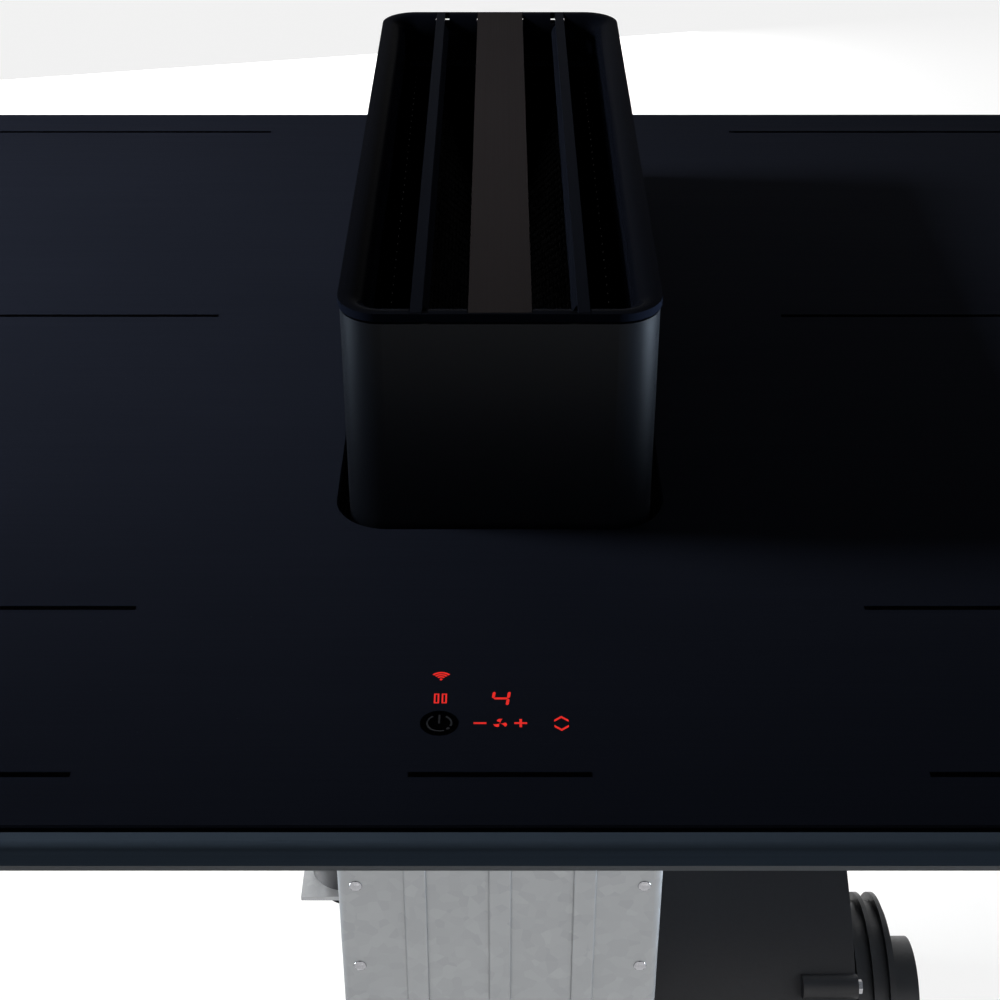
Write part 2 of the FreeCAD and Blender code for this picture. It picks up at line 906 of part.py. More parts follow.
def make_carriage():
    """A rimmed plate under the shroud with bosses for the guide bushes and the screw's nut."""
    body = new_body("tower_carriage")
    bush_radius = S.rod_radius + S.bush_clearance + S.bush_wall
    spots = [(S.rod_spread * side, y) for y in (front_rod_y, rear_rod_y) for side in (-1, 1)]
    low = tower_bottom - S.plate_thickness
    half = shaft_half - S.carriage_gap
    front = shaft_front + S.carriage_gap
    back = shaft_back - S.carriage_gap
    ledge = S.plate_ledge
    pad(body, "Z", low, tower_bottom,
        rectangle(-half, half, front, back, S.plate_corner),
        rectangle(-bore_half + ledge, bore_half - ledge, bore_front + ledge, bore_back - ledge,
                  S.plate_corner))
    for rim_front, rim_back in ((front, front + S.plate_rim), (back - S.plate_rim, back)):
        pad(body, "Z", tower_bottom, tower_bottom + S.rim_height,
            rectangle(S.plate_corner - half, half - S.plate_corner, rim_front, rim_back))
    pad(body, "Z", tower_bottom, tower_bottom + S.boss_height,
        *[(x, y, bush_radius + S.boss_wall) for x, y in spots])
    pocket(body, "Z", low, tower_bottom + S.boss_height, *[(x, y, bush_radius) for x, y in spots])
    pocket(body, "Z", low, tower_bottom, (0.0, screw_y, S.nut_radius))
    node(body, "tower_carriage")
    bushes = []
    for x, y in spots:
        bushes.append(tube("Z", x, y, low, bush_radius, S.rod_radius + S.bush_clearance,
                           S.plate_thickness + S.boss_height))
    node(group(*bushes), "guide_bushes")


def make_lift_nut():
    """A flanged nut that sits on the carriage plate."""
    bore = S.screw_radius + S.nut_clearance
    drop = S.plate_thickness
    profile = [(bore, -drop), (S.nut_radius, -drop), (S.nut_radius, 0.0), (S.nut_flange, 0.0),
               (S.nut_flange, S.nut_flange_height), (S.nut_radius, S.nut_flange_height),
               (S.nut_radius, S.nut_height), (bore, S.nut_height)]
    nut = spin("lift_nut", [profile])
    node(place(nut, 0, screw_y, tower_bottom), "lift_nut")


def make_shaft():
    """The folded shaft round the tower, with pressed swages and a floor in its rear bay."""
    body = new_body("shaft_housing")
    wall = S.shaft_wall
    front = shaft_front - wall
    back = shaft_back + wall
    pad(body, "Z", shaft_foot, shaft_top,
        rectangle(-shaft_outer, shaft_outer, front, back, S.shaft_corner),
        rectangle(-shaft_half, shaft_half, shaft_front, shaft_back, S.shaft_corner - wall))
    pad(body, "Z", shaft_foot, shaft_floor,
        rectangle(-shaft_half, shaft_half, rear_floor_front, shaft_back),
        (0.0, screw_y, S.screw_radius + S.screw_hole_gap))
    swages = []
    for step in (-1, 0, 1):
        left = S.swage_pitch * step - S.swage_width / 2
        right = left + S.swage_width
        swages.append([(left, front - S.swage_height, S.swage_height / 2),
                       (right, front - S.swage_height, S.swage_height / 2),
                       (right, shaft_front), (left, shaft_front)])
        swages.append([(left, shaft_back), (right, shaft_back),
                       (right, back + S.swage_height, S.swage_height / 2),
                       (left, back + S.swage_height, S.swage_height / 2)])
    pad(body, "Z", shaft_floor + S.swage_margin, module_floor - S.swage_margin, *swages)
    pocket(body, "X", shaft_half, shaft_outer,
           (blower_y, blower_z, S.inlet_radius))
    node(body, "shaft_housing")


def make_guides():
    """Four rods held by bossed brackets at the top and the bottom of the shaft."""
    rods = []
    length = upper_bracket_top - lower_bracket_under
    for y in (front_rod_y, rear_rod_y):
        for side in (-1, 1):
            rods.append(rod("Z", S.rod_spread * side, y, lower_bracket_under, S.rod_radius, length))
    node(group(*rods), "guide_rods")
    front_face = shroud_front - S.bracket_gap
    rear_face = shroud_back + S.bracket_gap
    brackets = []
    for low in (upper_bracket_under, lower_bracket_under):
        brackets.append(rod_bracket(low, shaft_front, front_face, front_rod_y, []))
        brackets.append(rod_bracket(low, rear_face, shaft_back, rear_rod_y,
                                    [(0.0, screw_y, S.bearing_radius)]))
    node(group(*brackets), "rod_brackets")


def rod_bracket(low, front, back, rod_y, seats):
    """A web with a boss round each rod and round each bearing seat."""
    half = S.rod_spread + S.bracket_side
    holes = [(S.rod_spread * side, rod_y, S.rod_radius) for side in (-1, 1)] + seats
    body = new_body("rod_bracket")
    pad(body, "Z", low, low + S.bracket_web, rectangle(-half, half, front, back))
    for x, y, radius in holes:
        pad(body, "Z", low, low + S.bracket_height, (x, y, radius + S.bracket_wall))
    pocket(body, "Z", low, low + S.bracket_height, *holes)
    return body


def make_screw():
    """The lead screw and its bearings."""
    node(rod("Z", 0, screw_y, drive_low, S.screw_radius, upper_bracket_top - drive_low),
         "lead_screw")
    bearings = []
    for low in (upper_bracket_under, lower_bracket_under):
        bearings.append(tube("Z", 0, screw_y, low, S.bearing_radius,
                             S.screw_radius + S.bearing_gap, S.bearing_width))
    node(group(*bearings), "screw_bearings")


def pulley_profile(bore):
    """A flanged belt pulley on the given bore."""
    rim = S.pulley_radius
    lip = S.pulley_lip
    width = S.pulley_width
    return [(bore, 0.0), (rim + lip, 0.0), (rim + lip, lip), (rim, lip), (rim, width - lip),
            (rim + lip, width - lip), (rim + lip, width), (bore, width)]


def make_pulleys():
    """The screw's pulley, the motor's pulley on its shaft, and the belt round both."""
    motor_x = -S.motor_offset
    pulley = spin("screw_pulley", [pulley_profile(S.screw_radius)])
    node(place(pulley, 0, screw_y, drive_low), "screw_pulley")
    pulley = spin("pulley", [pulley_profile(S.motor_shaft_radius)])
    place(pulley, motor_x, screw_y, drive_low)
    tip = shaft_floor + S.motor_bracket_thickness + S.motor_shaft_tip
    shaft = rod("Z", motor_x, screw_y, drive_low, S.motor_shaft_radius, tip - drive_low)
    node(fuse(pulley, shaft), "motor_pulley")
    belt = new_body("drive_belt")
    belt_low = drive_low + (S.pulley_width - S.belt_width) / 2
    inner = S.pulley_radius + S.belt_gap
    loops = []
    for reach in (inner + S.belt_thickness, inner):
        loops.append([((motor_x, screw_y - reach), None), ((0.0, screw_y - reach), (reach, 1)),
                      ((reach, screw_y), (reach, 1)), ((0.0, screw_y + reach), None),
                      ((motor_x, screw_y + reach), (reach, 1)),
                      ((motor_x - reach, screw_y), (reach, 1))])
    sketch = sketch_at(belt, "Z", belt_low)
    for loop in loops:
        draw_loop(sketch, loop)
    feature = belt.newObject("PartDesign::Pad", "band")
    feature.Profile = sketch
    bind(feature, "Length", S.belt_width)
    node(belt, "drive_belt")


def make_lift_motor():
    """The gear motor on its angle bracket beside the shaft."""
    motor_x = -S.motor_offset
    thick = S.motor_bracket_thickness
    reach = S.motor_radius + S.motor_edge
    foot = shaft_floor + thick
    front, back = screw_y - reach, screw_y + S.motor_radius
    bracket = new_body("motor_bracket")
    pad(bracket, "Z", shaft_floor, foot,
        rectangle(motor_x - reach, -shaft_outer, front, back),
        (motor_x, screw_y, S.motor_shaft_radius + S.motor_edge))
    pad(bracket, "X", -shaft_outer - thick, -shaft_outer,
        rectangle(front, back, shaft_floor, shaft_floor + S.motor_bracket_height))
    node(bracket, "motor_bracket")
    motor = new_body("lift_motor")
    gearbox_top = foot + S.gearbox_length
    pad(motor, "Z", foot, gearbox_top, (motor_x, screw_y, S.motor_radius))
    pad(motor, "Z", gearbox_top, foot + S.motor_length,
        (motor_x, screw_y, S.motor_radius - S.motor_step))
    pad(motor, "Z", foot + S.motor_length, foot + S.motor_length + S.motor_step,
        (motor_x, screw_y, S.motor_radius / 2))
    pocket(motor, "Z", foot, foot + S.motor_socket,
           (motor_x, screw_y, S.motor_shaft_radius + S.axle_clearance))
    node(motor, "lift_motor")


def make_drip_tray():
    """A tray that closes the shaft's foot: a collar with a snap bead, a flange, a basin."""
    half = shaft_half - S.tray_clearance
    front = shaft_front + S.tray_clearance
    back = rear_floor_front - S.tray_clearance
    high = shaft_floor + S.tray_nest
    flange_low = shaft_foot - S.tray_flange
    low = high - S.tray_depth
    wall = S.tray_wall
    bead = S.tray_bead
    step = S.tray_step
    corner = S.tray_corner
    body = new_body("drip_tray")
    pad(body, "Z", flange_low, high, rectangle(-half, half, front, back, corner))
    bead_low = high - S.bead_drop
    pad(body, "Z", bead_low, bead_low + S.bead_height,
        rectangle(-half - bead, half + bead, front - bead, back + bead, corner))
    pad(body, "Z", flange_low, shaft_foot,
        rectangle(-shaft_outer, shaft_outer, shaft_front - S.shaft_wall,
                  rear_floor_front + S.tray_flange, corner))
    pad(body, "Z", low, flange_low,
        rectangle(step - half, half - step, front + step, back - step, corner))
    inset = step + wall
    pocket(body, "Z", low + wall, high,
           rectangle(inset - half, half - inset, front + inset, back - inset, corner))
    node(body, "drip_tray")


# ---------------------------------------------------------------- blower


def volute(grow):
    """Stops of the scroll's outline: three quarter arcs of growing radius, a square outlet."""
    step = S.scroll_step
    first = S.scroll_start + grow
    second = first + step
    third = second + step
    front_side = blower_y - step / 2
    rear_side = blower_y + step / 2
    low_middle = blower_z - step / 2
    high_middle = blower_z + step / 2
    mouth_low = outlet_low_z - grow
    tongue_y = front_side + first
    top = high_middle + third
    return [((front_side, low_middle - first), (first, 1)), ((tongue_y, low_middle), None),
            ((tongue_y, mouth_low), None), ((outlet_y, mouth_low), None), ((outlet_y, top), None),
            ((rear_side, top), (third, 1)), ((front_side - second, high_middle), (second, 1))]


def volute_prism(body, kind, low, high, grow):
    sketch = sketch_at(body, "X", high if kind == "Pocket" else low)
    draw_loop(sketch, volute(grow))
    feature = body.newObject(f"PartDesign::{kind}", "volute")
    feature.Profile = sketch
    bind(feature, "Length", as_size(high) - low)


def lug_spots():
    """Middles of the cover's screw lugs, just outside the scroll's wall."""
    step = S.scroll_step
    near_y, far_y = blower_y - step / 2, blower_y + step / 2
    low_z, high_z = blower_z - step / 2, blower_z + step / 2
    stand_off = S.scroll_wall + S.lug_radius / 2
    slant = math.sqrt(0.5)
    first = (S.scroll_start + stand_off) * slant
    second = (S.scroll_start + step + stand_off) * slant
    third = (S.scroll_start + step * 2 + stand_off) * slant
    return [(near_y + first, low_z - first), (near_y - second, high_z - second),
            (far_y - third, high_z + third),
            (outlet_y - S.lug_inset, outlet_high_z + stand_off)]


def outlet_outline():
    """The outer edge of the flange where scroll and duct are screwed together."""
    grow = S.scroll_wall + S.outlet_flange
    return rectangle(scroll_low, scroll_high + S.outlet_flange, outlet_low_z - grow,
                     outlet_high_z + grow)


def make_scroll():
    """The scroll beside the shaft, and the cover that carries the motor."""
    wall = S.scroll_wall
    low, high = scroll_low, scroll_high
    lugs = [(y, z, S.lug_radius) for y, z in lug_spots()]
    mouth = rectangle(low + wall, high - wall, outlet_low_z, outlet_high_z)
    body = new_body("blower_scroll")
    volute_prism(body, "Pad", low, high - wall, wall)
    pad(body, "X", high - S.lug_length, high - wall, *lugs)
    pad(body, "Y", outlet_y - wall, outlet_y, outlet_outline())
    volute_prism(body, "Pocket", low + wall, high - wall, as_size(0.0))
    pocket(body, "Y", outlet_y - wall, outlet_y, mouth)
    pocket(body, "X", low, low + wall,
           (blower_y, blower_z, S.inlet_radius + S.inlet_wall))
    node(body, "blower_scroll")
    cover = new_body("blower_cover")
    volute_prism(cover, "Pad", high - wall, high, wall)
    pad(cover, "X", high - wall, high, *lugs)
    middle = (blower_y, blower_z)
    bead = S.cover_bead_radius
    pad(cover, "X", high, high + wall, middle + (bead + S.cover_bead,), middle + (bead,))
    pocket(cover, "X", high - wall, high,
           middle + (S.blower_shaft_radius + S.blower_shaft_gap,))
    pocket(cover, "Y", outlet_y - wall, outlet_y + wall, [
        (high - wall, outlet_low_z - S.outlet_flange * 2),
        (high, outlet_low_z - S.outlet_flange * 2),
        (high, outlet_high_z + S.outlet_flange * 2),
        (high - wall, outlet_high_z + S.outlet_flange * 2)])
    node(cover, "blower_cover")


def make_inlet_ring():
    """A turned inlet that reaches into the wheel."""
    wall = S.inlet_wall
    throat = S.inlet_radius - S.inlet_clearance - wall
    start = S.scroll_wall
    tip = start + S.inlet_reach
    profile = [(throat, -S.shaft_wall), (throat + wall, -S.shaft_wall), (throat + wall, start),
               (throat + S.inlet_flange, start), (throat + S.inlet_flange, start + wall),
               (throat + wall, start + wall), (throat + wall, tip), (throat, tip)]
    ring = spin("blower_inlet_ring", [profile])
    place(ring, scroll_low, blower_y, blower_z, TURNS["X"])
    node(ring, "blower_inlet_ring")


def make_wheel():
    """The wheel: a backplate with a hub, curved blades, a front ring and the motor's shaft."""
    start = scroll_low + S.wheel_gap
    body = new_body("blower_wheel")
    bore = S.blower_shaft_radius
    width = S.wheel_width
    plate_low = width - S.wheel_plate
    hub_low = width - S.hub_length
    sketch = sketch_at(body, "Y", 0)
    draw(sketch, [(bore, hub_low), (S.hub_radius, hub_low), (S.hub_radius, plate_low),
                  (S.wheel_radius, plate_low), (S.wheel_radius, width), (bore, width)])
    turned = body.newObject("PartDesign::Revolution", "backplate")
    turned.Profile = sketch
    turned.ReferenceAxis = (sketch, ["V_Axis"])
    pad(body, "Z", 0.0, S.wheel_plate, (0.0, 0.0, S.wheel_radius), (0.0, 0.0, S.wheel_inner))
    body.Tip = turn_pattern(body, wheel_blade(body), S.blade_count)
    place(body, start, blower_y, blower_z, TURNS["X"])
    shaft_start = start + hub_low
    shaft = rod("X", shaft_start, blower_y, blower_z, bore,
                scroll_high + S.blower_shaft_tip - shaft_start)
    node(fuse(body, shaft), "blower_wheel")


def turn_pattern(body, feature, count):
    """Repeats a feature evenly round the body's Z axis."""
    pattern = body.newObject("PartDesign::PolarPattern", "repeats")
    pattern.Originals = [feature]
    axis = [part for part in body.Origin.OriginFeatures if part.Role == "Z_Axis"][0]
    pattern.Axis = (axis, [""])
    pattern.Angle = 360
    bind(pattern, "Occurrences", count)
    return pattern


def row_pattern(body, feature, length, count):
    """Repeats a feature evenly along Y."""
    pattern = body.newObject("PartDesign::LinearPattern", "repeats")
    pattern.Originals = [feature]
    axis = [part for part in body.Origin.OriginFeatures if part.Role == "Y_Axis"][0]
    pattern.Direction = (axis, [""])
    bind(pattern, "Length", length)
    bind(pattern, "Occurrences", count)
    return pattern


def wheel_blade(body):
    """One blade: a thin arc from the inner to the outer radius of the wheel."""
    sketch = sketch_at(body, "Z", 0.0)
    half = S.blade_thickness / 2
    lean = S.blade_lean
    inner = S.wheel_inner + S.blade_lap
    outer = S.wheel_radius - S.blade_lap
    inner_low, inner_high = (inner, -half), (inner, half)
    outer_low, outer_high = (outer, lean - half), (outer, lean + half)
    radius = bulge_radius(inner_low, outer_low, S.blade_bulge)
    draw_loop(sketch, [(inner_low, (radius, 1)), (outer_low, None), (outer_high, (radius, -1)),
                       (inner_high, None)])
    feature = body.newObject("PartDesign::Pad", "blade")
    feature.Profile = sketch
    bind(feature, "Length", S.wheel_width)
    return feature


def make_blower_motor():
    """The motor on the cover: a flange, a finned can and a bearing cap."""
    body = new_body("blower_motor")
    low = scroll_high
    radius = S.blower_motor_radius
    middle = (blower_y, blower_z)
    can_end = low + S.blower_can_length
    pad(body, "X", low, low + S.motor_flange, middle + (radius + S.motor_flange_width,))
    pad(body, "X", low + S.motor_flange, can_end, middle + (radius,))
    pad(body, "X", can_end, low + S.blower_motor_length, middle + (S.blower_cap_radius,))
    pitch = (can_end - low - S.motor_flange) / S.motor_fin_count
    for index in range(int(S.motor_fin_count.value)):
        fin_low = low + S.motor_flange + pitch * index + pitch / 2
        pad(body, "X", fin_low, fin_low + S.motor_fin, middle + (radius + S.motor_fin_reach,))
    pocket(body, "X", low, low + S.blower_shaft_tip + S.blower_shaft_gap,
           middle + (S.blower_shaft_radius + S.axle_clearance,))
    node(body, "blower_motor")


# ---------------------------------------------------------------- outlet duct


def make_transition():
    """A ruled loft from the scroll's square outlet to the round spigot, with a flange."""
    wall = S.scroll_wall
    body = new_body("duct_transition")
    pad(body, "Y", outlet_y, outlet_y + wall, outlet_outline())

    def section(kind, grow):
        first = sketch_at(body, "Y", outlet_y)
        draw(first, rectangle(scroll_low + wall - grow, scroll_high - wall + grow,
                              outlet_low_z - grow, outlet_high_z + grow, S.duct_corner + grow))
        last = sketch_at(body, "Y", transition_end)
        draw_loop(last, eight_arcs(duct_x, duct_z, S.duct_radius - S.duct_wall + grow))
        loft = body.newObject(f"PartDesign::{kind}Loft", "loft")
        loft.Profile = first
        loft.Sections = [last]
        loft.Ruled = True

    section("Additive", S.duct_wall)
    doc.recompute()
    section("Subtractive", as_size(0.0))
    node(body, "duct_transition")


def eight_arcs(x, y, radius):
    """Stops of a circle in eight arcs: short ones for a square's corners, long for its sides."""
    stops = []
    turn = S.corner_turn.value
    lower_left = -QUARTER - QUARTER / 2
    for quarter in range(4):
        corner = lower_left + QUARTER * quarter
        for angle in (math.radians(corner - turn), math.radians(corner + turn)):
            stops.append(((x + radius * math.cos(angle), y + radius * math.sin(angle)),
                          (radius, 1)))
    return stops


def make_spigot():
    """The round spigot that the duct is pushed over."""
    radius = S.duct_radius
    bore = radius - S.duct_wall
    flange = radius + S.spigot_flange_width
    profile = [(bore, 0.0), (flange, 0.0), (flange, S.spigot_flange),
               (radius, S.spigot_flange), (radius, S.spigot_length), (bore, S.spigot_length)]
    spigot = spin("duct_spigot", [profile])
    place(spigot, duct_x, transition_end, duct_z, TURNS["Y"])
    node(spigot, "duct_spigot")


def make_flaps():
    """Two half-round non-return flaps whose knuckles turn on one upright pin."""
    bore = S.duct_radius - S.duct_wall
    flap_y = transition_end + S.flap_inset
    reach = bore - S.flap_clearance
    node(rod("Z", duct_x, flap_y, duct_z - bore, S.flap_pin_radius, bore * 2), "flap_pin")
    sleeve_bore = S.flap_pin_radius + S.axle_clearance
    sleeve = sleeve_bore + S.flap_thickness
    pitch = S.knuckle_pitch
    half = S.flap_thickness / 2
    front, back = flap_y - half, flap_y + half
    for side, name, steps in ((-1, "flap_left", (-3, -1, 1)), (1, "flap_right", (-2, 0, 2))):
        body = new_body(name)
        pad(body, "Y", front, back, (duct_x, duct_z, reach))
        edge = duct_x + (sleeve + S.flap_thickness) * side
        left, right = (duct_x - bore, edge) if side > 0 else (edge, duct_x + bore)
        pocket(body, "Y", front, back, rectangle(left, right, duct_z - bore, duct_z + bore))
        for step in steps:
            low = duct_z + pitch * step + S.flap_clearance / 2
            high = duct_z + pitch * (step + 1) - S.flap_clearance / 2
            pad(body, "Z", low, high, (duct_x, flap_y, sleeve))
            lap = edge + S.flap_thickness * side
            arm_left, arm_right = (duct_x, lap) if side > 0 else (lap, duct_x)
            pad(body, "Z", low, high, rectangle(arm_left, arm_right, front, back))
            pocket(body, "Z", low, high, (duct_x, flap_y, sleeve_bore))
        node(body, name)


# ---------------------------------------------------------------- induction modules


def make_tray(side, name):
    """A folded tray under the glass with a flange, air vents and an inlet under its fan."""
    body = new_body(name)
    wall = S.module_wall
    corner = S.module_corner
    left, right = sided(side, shaft_outer, module_outer)
    front, back = module_front, module_back
    inside = rectangle(left + wall, right - wall, front + wall, back - wall, corner - wall)
    pad(body, "Z", module_floor, module_top, rectangle(left, right, front, back, corner))
    flange_left, flange_right = sided(side, shaft_outer, module_outer + S.module_flange)
    pad(body, "Z", module_top - wall, module_top,
        rectangle(flange_left, flange_right, front, back + S.module_flange, corner))
    pocket(body, "Z", tray_inside, module_top, inside)
    pocket(body, "Z", module_floor, tray_inside,
           (zone_middle_x * side, fan_y, S.fan_radius - wall))
    inset = S.post_inset
    pad(body, "Z", tray_inside, carrier_low,
        *[square(x, y, S.post_half) for x in (left + inset, right - inset)
          for y in (front + inset, back - inset)])
    row_length = S.vent_pitch * (S.vent_count - 1)
    row_start = zone_front_y - row_length / 2
    vent_low = tray_inside + S.board_lift
    vent_near, vent_far = sided(side, module_outer - wall, module_outer)
    vent = pocket(body, "X", vent_near, vent_far,
                  rectangle(row_start - S.vent_width / 2, row_start + S.vent_width / 2, vent_low,
                            vent_low + S.vent_height))
    body.Tip = row_pattern(body, vent, row_length, S.vent_count)
    node(body, name)


def make_winding(name, x, y):
    """A flat winding in bands that stand on a thin base."""
    body = new_body(name)
    band = (coil_radius - S.coil_eye + S.coil_groove) / S.coil_bands
    pad(body, "Z", coil_low, coil_low + S.coil_base, (x, y, coil_radius), (x, y, S.coil_eye))
    rings = []
    for index in range(int(S.coil_bands.value)):
        inner = S.coil_eye + band * index
        rings += [(x, y, inner), (x, y, inner + band - S.coil_groove)]
    pad(body, "Z", coil_low + S.coil_base, coil_high, *rings)
    node(body, name)


def make_ferrites(x, y):
    """Ferrite bars that lie under a winding like spokes."""
    bars = []
    start = S.coil_eye + S.ferrite_gap
    half = S.ferrite_width / 2
    for index in range(int(S.ferrite_count.value)):
        angle = 360.0 / S.ferrite_count.value * index
        across, along = math.sin(math.radians(angle)), math.cos(math.radians(angle))
        bar = doc.addObject("Part::Box", "ferrite")
        bind(bar, "Length", coil_radius - start - S.ferrite_gap)
        bind(bar, "Width", S.ferrite_width)
        bind(bar, "Height", S.ferrite_thickness)
        bars.append(place(bar, x + start * along + half * across, y + start * across - half * along,
                          ferrite_low, ((0, 0, 1), angle)))
    return bars


def make_coils():
    """Four flat windings, their ferrites, carriers, mats and temperature sensors."""
    ferrites = []
    carriers = []
    mats = []
    sensors = []
    inset = S.module_inset
    along = (module_front + inset, module_back - inset)
    for side_name, side in (("left", -1), ("right", 1)):
        across = sided(side, shaft_outer + inset, module_outer - inset)
        mats.append(box(across, along, (coil_high, glass_under)))
        carriers.append(box(across, along, (carrier_low, ferrite_low)))
        x = zone_middle_x * side
        for row_name, y in (("front", zone_front_y), ("rear", zone_rear_y)):
            make_winding(f"coil_{row_name}_{side_name}", x, y)
            sensors.append(rod("Z", x, y, ferrite_low, S.sensor_radius, coil_high - ferrite_low))
            ferrites += make_ferrites(x, y)
    node(group(*ferrites), "ferrite_bars")
    node(group(*carriers), "coil_carriers")
    node(group(*mats), "insulation_mats")
    node(group(*sensors), "temperature_sensors")


def make_power_board(side):
    """A board on short posts with its capacitors, choke and relay."""
    body = new_body("power_board")
    near = shaft_outer + S.board_side_gap
    left, right = sided(side, near, near + S.board_width)
    front = module_front + S.board_front_gap
    back = front + S.board_length
    high = board_low + S.board_thickness
    pad(body, "Z", board_low, high, rectangle(left, right, front, back, S.board_corner))
    post = S.board_post_inset
    pad(body, "Z", tray_inside, board_low,
        *[square(x, y, S.board_post_half) for x in (left + post, right - post)
          for y in (front + post, back - post)])
    first = left + S.part_inset + S.capacitor_radius
    row_y = back - S.part_inset - S.capacitor_radius
    pad(body, "Z", high, high + S.capacitor_height,
        *[(first + S.capacitor_pitch * index, row_y, S.capacitor_radius)
          for index in range(int(S.capacitor_count.value))])
    part_front = front + S.part_inset
    part_back = part_front + S.choke_width
    choke_right = left + S.part_inset + S.choke_length
    relay_left = choke_right + S.choke_gap
    pad(body, "Z", high, high + S.choke_height,
        rectangle(left + S.part_inset, choke_right, part_front, part_back),
        rectangle(relay_left, relay_left + S.relay_length, part_front, part_back))
    return body, make_heat_sink(right - S.part_inset, front + S.sink_start, high)


def make_heat_sink(right, front, low):
    """A comb of fins over the power transistors."""
    body = new_body("heat_sink")
    back = front + S.sink_length
    left = right - S.fin_pitch * (S.fin_count - 1) - S.fin_thickness
    fin_low = low + S.sink_base
    pad(body, "Z", low, fin_low, rectangle(left, right, front, back))
    fins = []
    for index in range(int(S.fin_count.value)):
        fin = left + S.fin_pitch * index
        fins.append(rectangle(fin, fin + S.fin_thickness, front, back))
    pad(body, "Z", fin_low, fin_low + S.fin_height, *fins)
    return body


def make_fan_frame(x):
    """A square frame on four feet, with arms that carry the rotor's axle."""
    half = S.fan_side / 2
    high = fan_low + S.fan_height
    web_high = fan_low + S.fan_web
    frame = new_body("fan_frame")
    pad(frame, "Z", fan_low, high,
        rectangle(x - half, x + half, fan_y - half, fan_y + half, S.fan_corner),
        (x, fan_y, S.fan_radius))
    arm = S.fan_arm / 2
    reach = half - arm
    pad(frame, "Z", fan_low, web_high, rectangle(x - reach, x + reach, fan_y - arm, fan_y + arm))
    pad(frame, "Z", fan_low, web_high, rectangle(x - arm, x + arm, fan_y - reach, fan_y + reach))
    pad(frame, "Z", fan_low, web_high, (x, fan_y, S.fan_hub))
    pad(frame, "Z", web_high, high - S.fan_lift, (x, fan_y, S.fan_axle))
    spot = half - S.fan_corner
    pad(frame, "Z", tray_inside, fan_low,
        *[square(x + spot * dx, fan_y + spot * dy, S.fan_foot) for dx in (-1, 1) for dy in (-1, 1)])
    return frame


def make_fan_rotor(x, name):
    """The rotor: a hub over the axle with slanted wings."""
    web = S.fan_web
    height = S.fan_height - web * 2
    slant = S.fan_slant
    tilt = web / 2
    rotor = new_body(name)
    pad(rotor, "Z", 0.0, height, (0.0, 0.0, S.fan_hub))
    pocket(rotor, "Z", 0.0, height - web, (0.0, 0.0, S.fan_axle + S.axle_clearance))
    sketch = sketch_at(rotor, "X", S.fan_hub - web)
    draw(sketch, [(-slant - tilt, tilt), (tilt - slant, tilt), (slant + tilt, height - tilt),
                  (slant - tilt, height - tilt)])
    wing = rotor.newObject("PartDesign::Pad", "wing")
    wing.Profile = sketch
    bind(wing, "Length", S.fan_radius - S.fan_tip_gap - S.fan_hub + web)
    rotor.Tip = turn_pattern(rotor, wing, S.fan_blades)
    node(place(rotor, x, fan_y, fan_low + S.fan_lift), name)


def make_module_electronics():
    boards = []
    heat_sinks = []
    frames = []
    for side, side_name in ((-1, "left"), (1, "right")):
        board, heat_sink = make_power_board(side)
        boards.append(board)
        heat_sinks.append(heat_sink)
        frames.append(make_fan_frame(zone_middle_x * side))
        make_fan_rotor(zone_middle_x * side, f"fan_rotor_{side_name}")
    node(group(*boards), "power_boards")
    node(group(*heat_sinks), "heat_sinks")
    node(group(*frames), "fan_frames")


# ---------------------------------------------------------------- touch control


def make_control():
    """A shallow carrier with glue ears, the board in it and the light guides to the glass."""
    half = S.control_half
    front, back = control_front, control_back
    wall = S.control_wall
    high = glass_under
    low = high - S.control_depth
    body = new_body("control_carrier")
    pad(body, "Z", low, high, rectangle(-half, half, front, back, S.control_corner))
    pad(body, "Z", high - wall, high,
        rectangle(-half - S.control_ear, half + S.control_ear, front, back, S.control_corner))
    pocket(body, "Z", low + wall, high,
           rectangle(wall - half, half - wall, front + wall, back - wall, S.control_corner - wall))
    node(body, "control_carrier")
    board_high = high - S.guide_height
    board_under = board_high - S.board_thickness
    gap = S.control_board_gap
    inset = gap + S.board_post_inset
    board = new_body("control_board")
    pad(board, "Z", board_under, board_high,
        rectangle(gap - half, half - gap, front + gap, back - gap, S.board_corner))
    pad(board, "Z", low + wall, board_under,
        *[square(x, y, S.board_post_half) for x in (inset - half, as_size(0.0), half - inset)
          for y in (front + inset, back - inset)])
    chip_x = half / 2
    chip_y = (front + back) / 2
    pad(board, "Z", board_high, board_high + S.chip_height,
        square(-chip_x, chip_y, S.chip_half), square(chip_x, chip_y, S.chip_half))
    node(board, "control_board")
    guides = []
    key_x = S.key_middle_x
    for x, row, radius in ((-key_x, S.key_row, S.key_guide_radius),
                           (as_size(0.0), S.key_row, S.guide_radius),
                           (key_x, S.key_row, S.key_guide_radius),
                           (-key_x, S.digit_row, S.guide_radius),
                           (as_size(0.0), S.digit_row, S.guide_radius),
                           (-key_x, S.sensor_row, S.guide_radius)):
        guides.append(rod("Z", x, glass_front + row, board_high, radius, S.guide_height))
    node(group(*guides), "light_guides")


# ---------------------------------------------------------------- mains box, clamps, screws

box_left = -shaft_outer - S.box_width
box_front = tower_middle - S.box_length / 2
box_back = box_front + S.box_length
box_high = -S.box_top
box_low = box_high - S.box_height


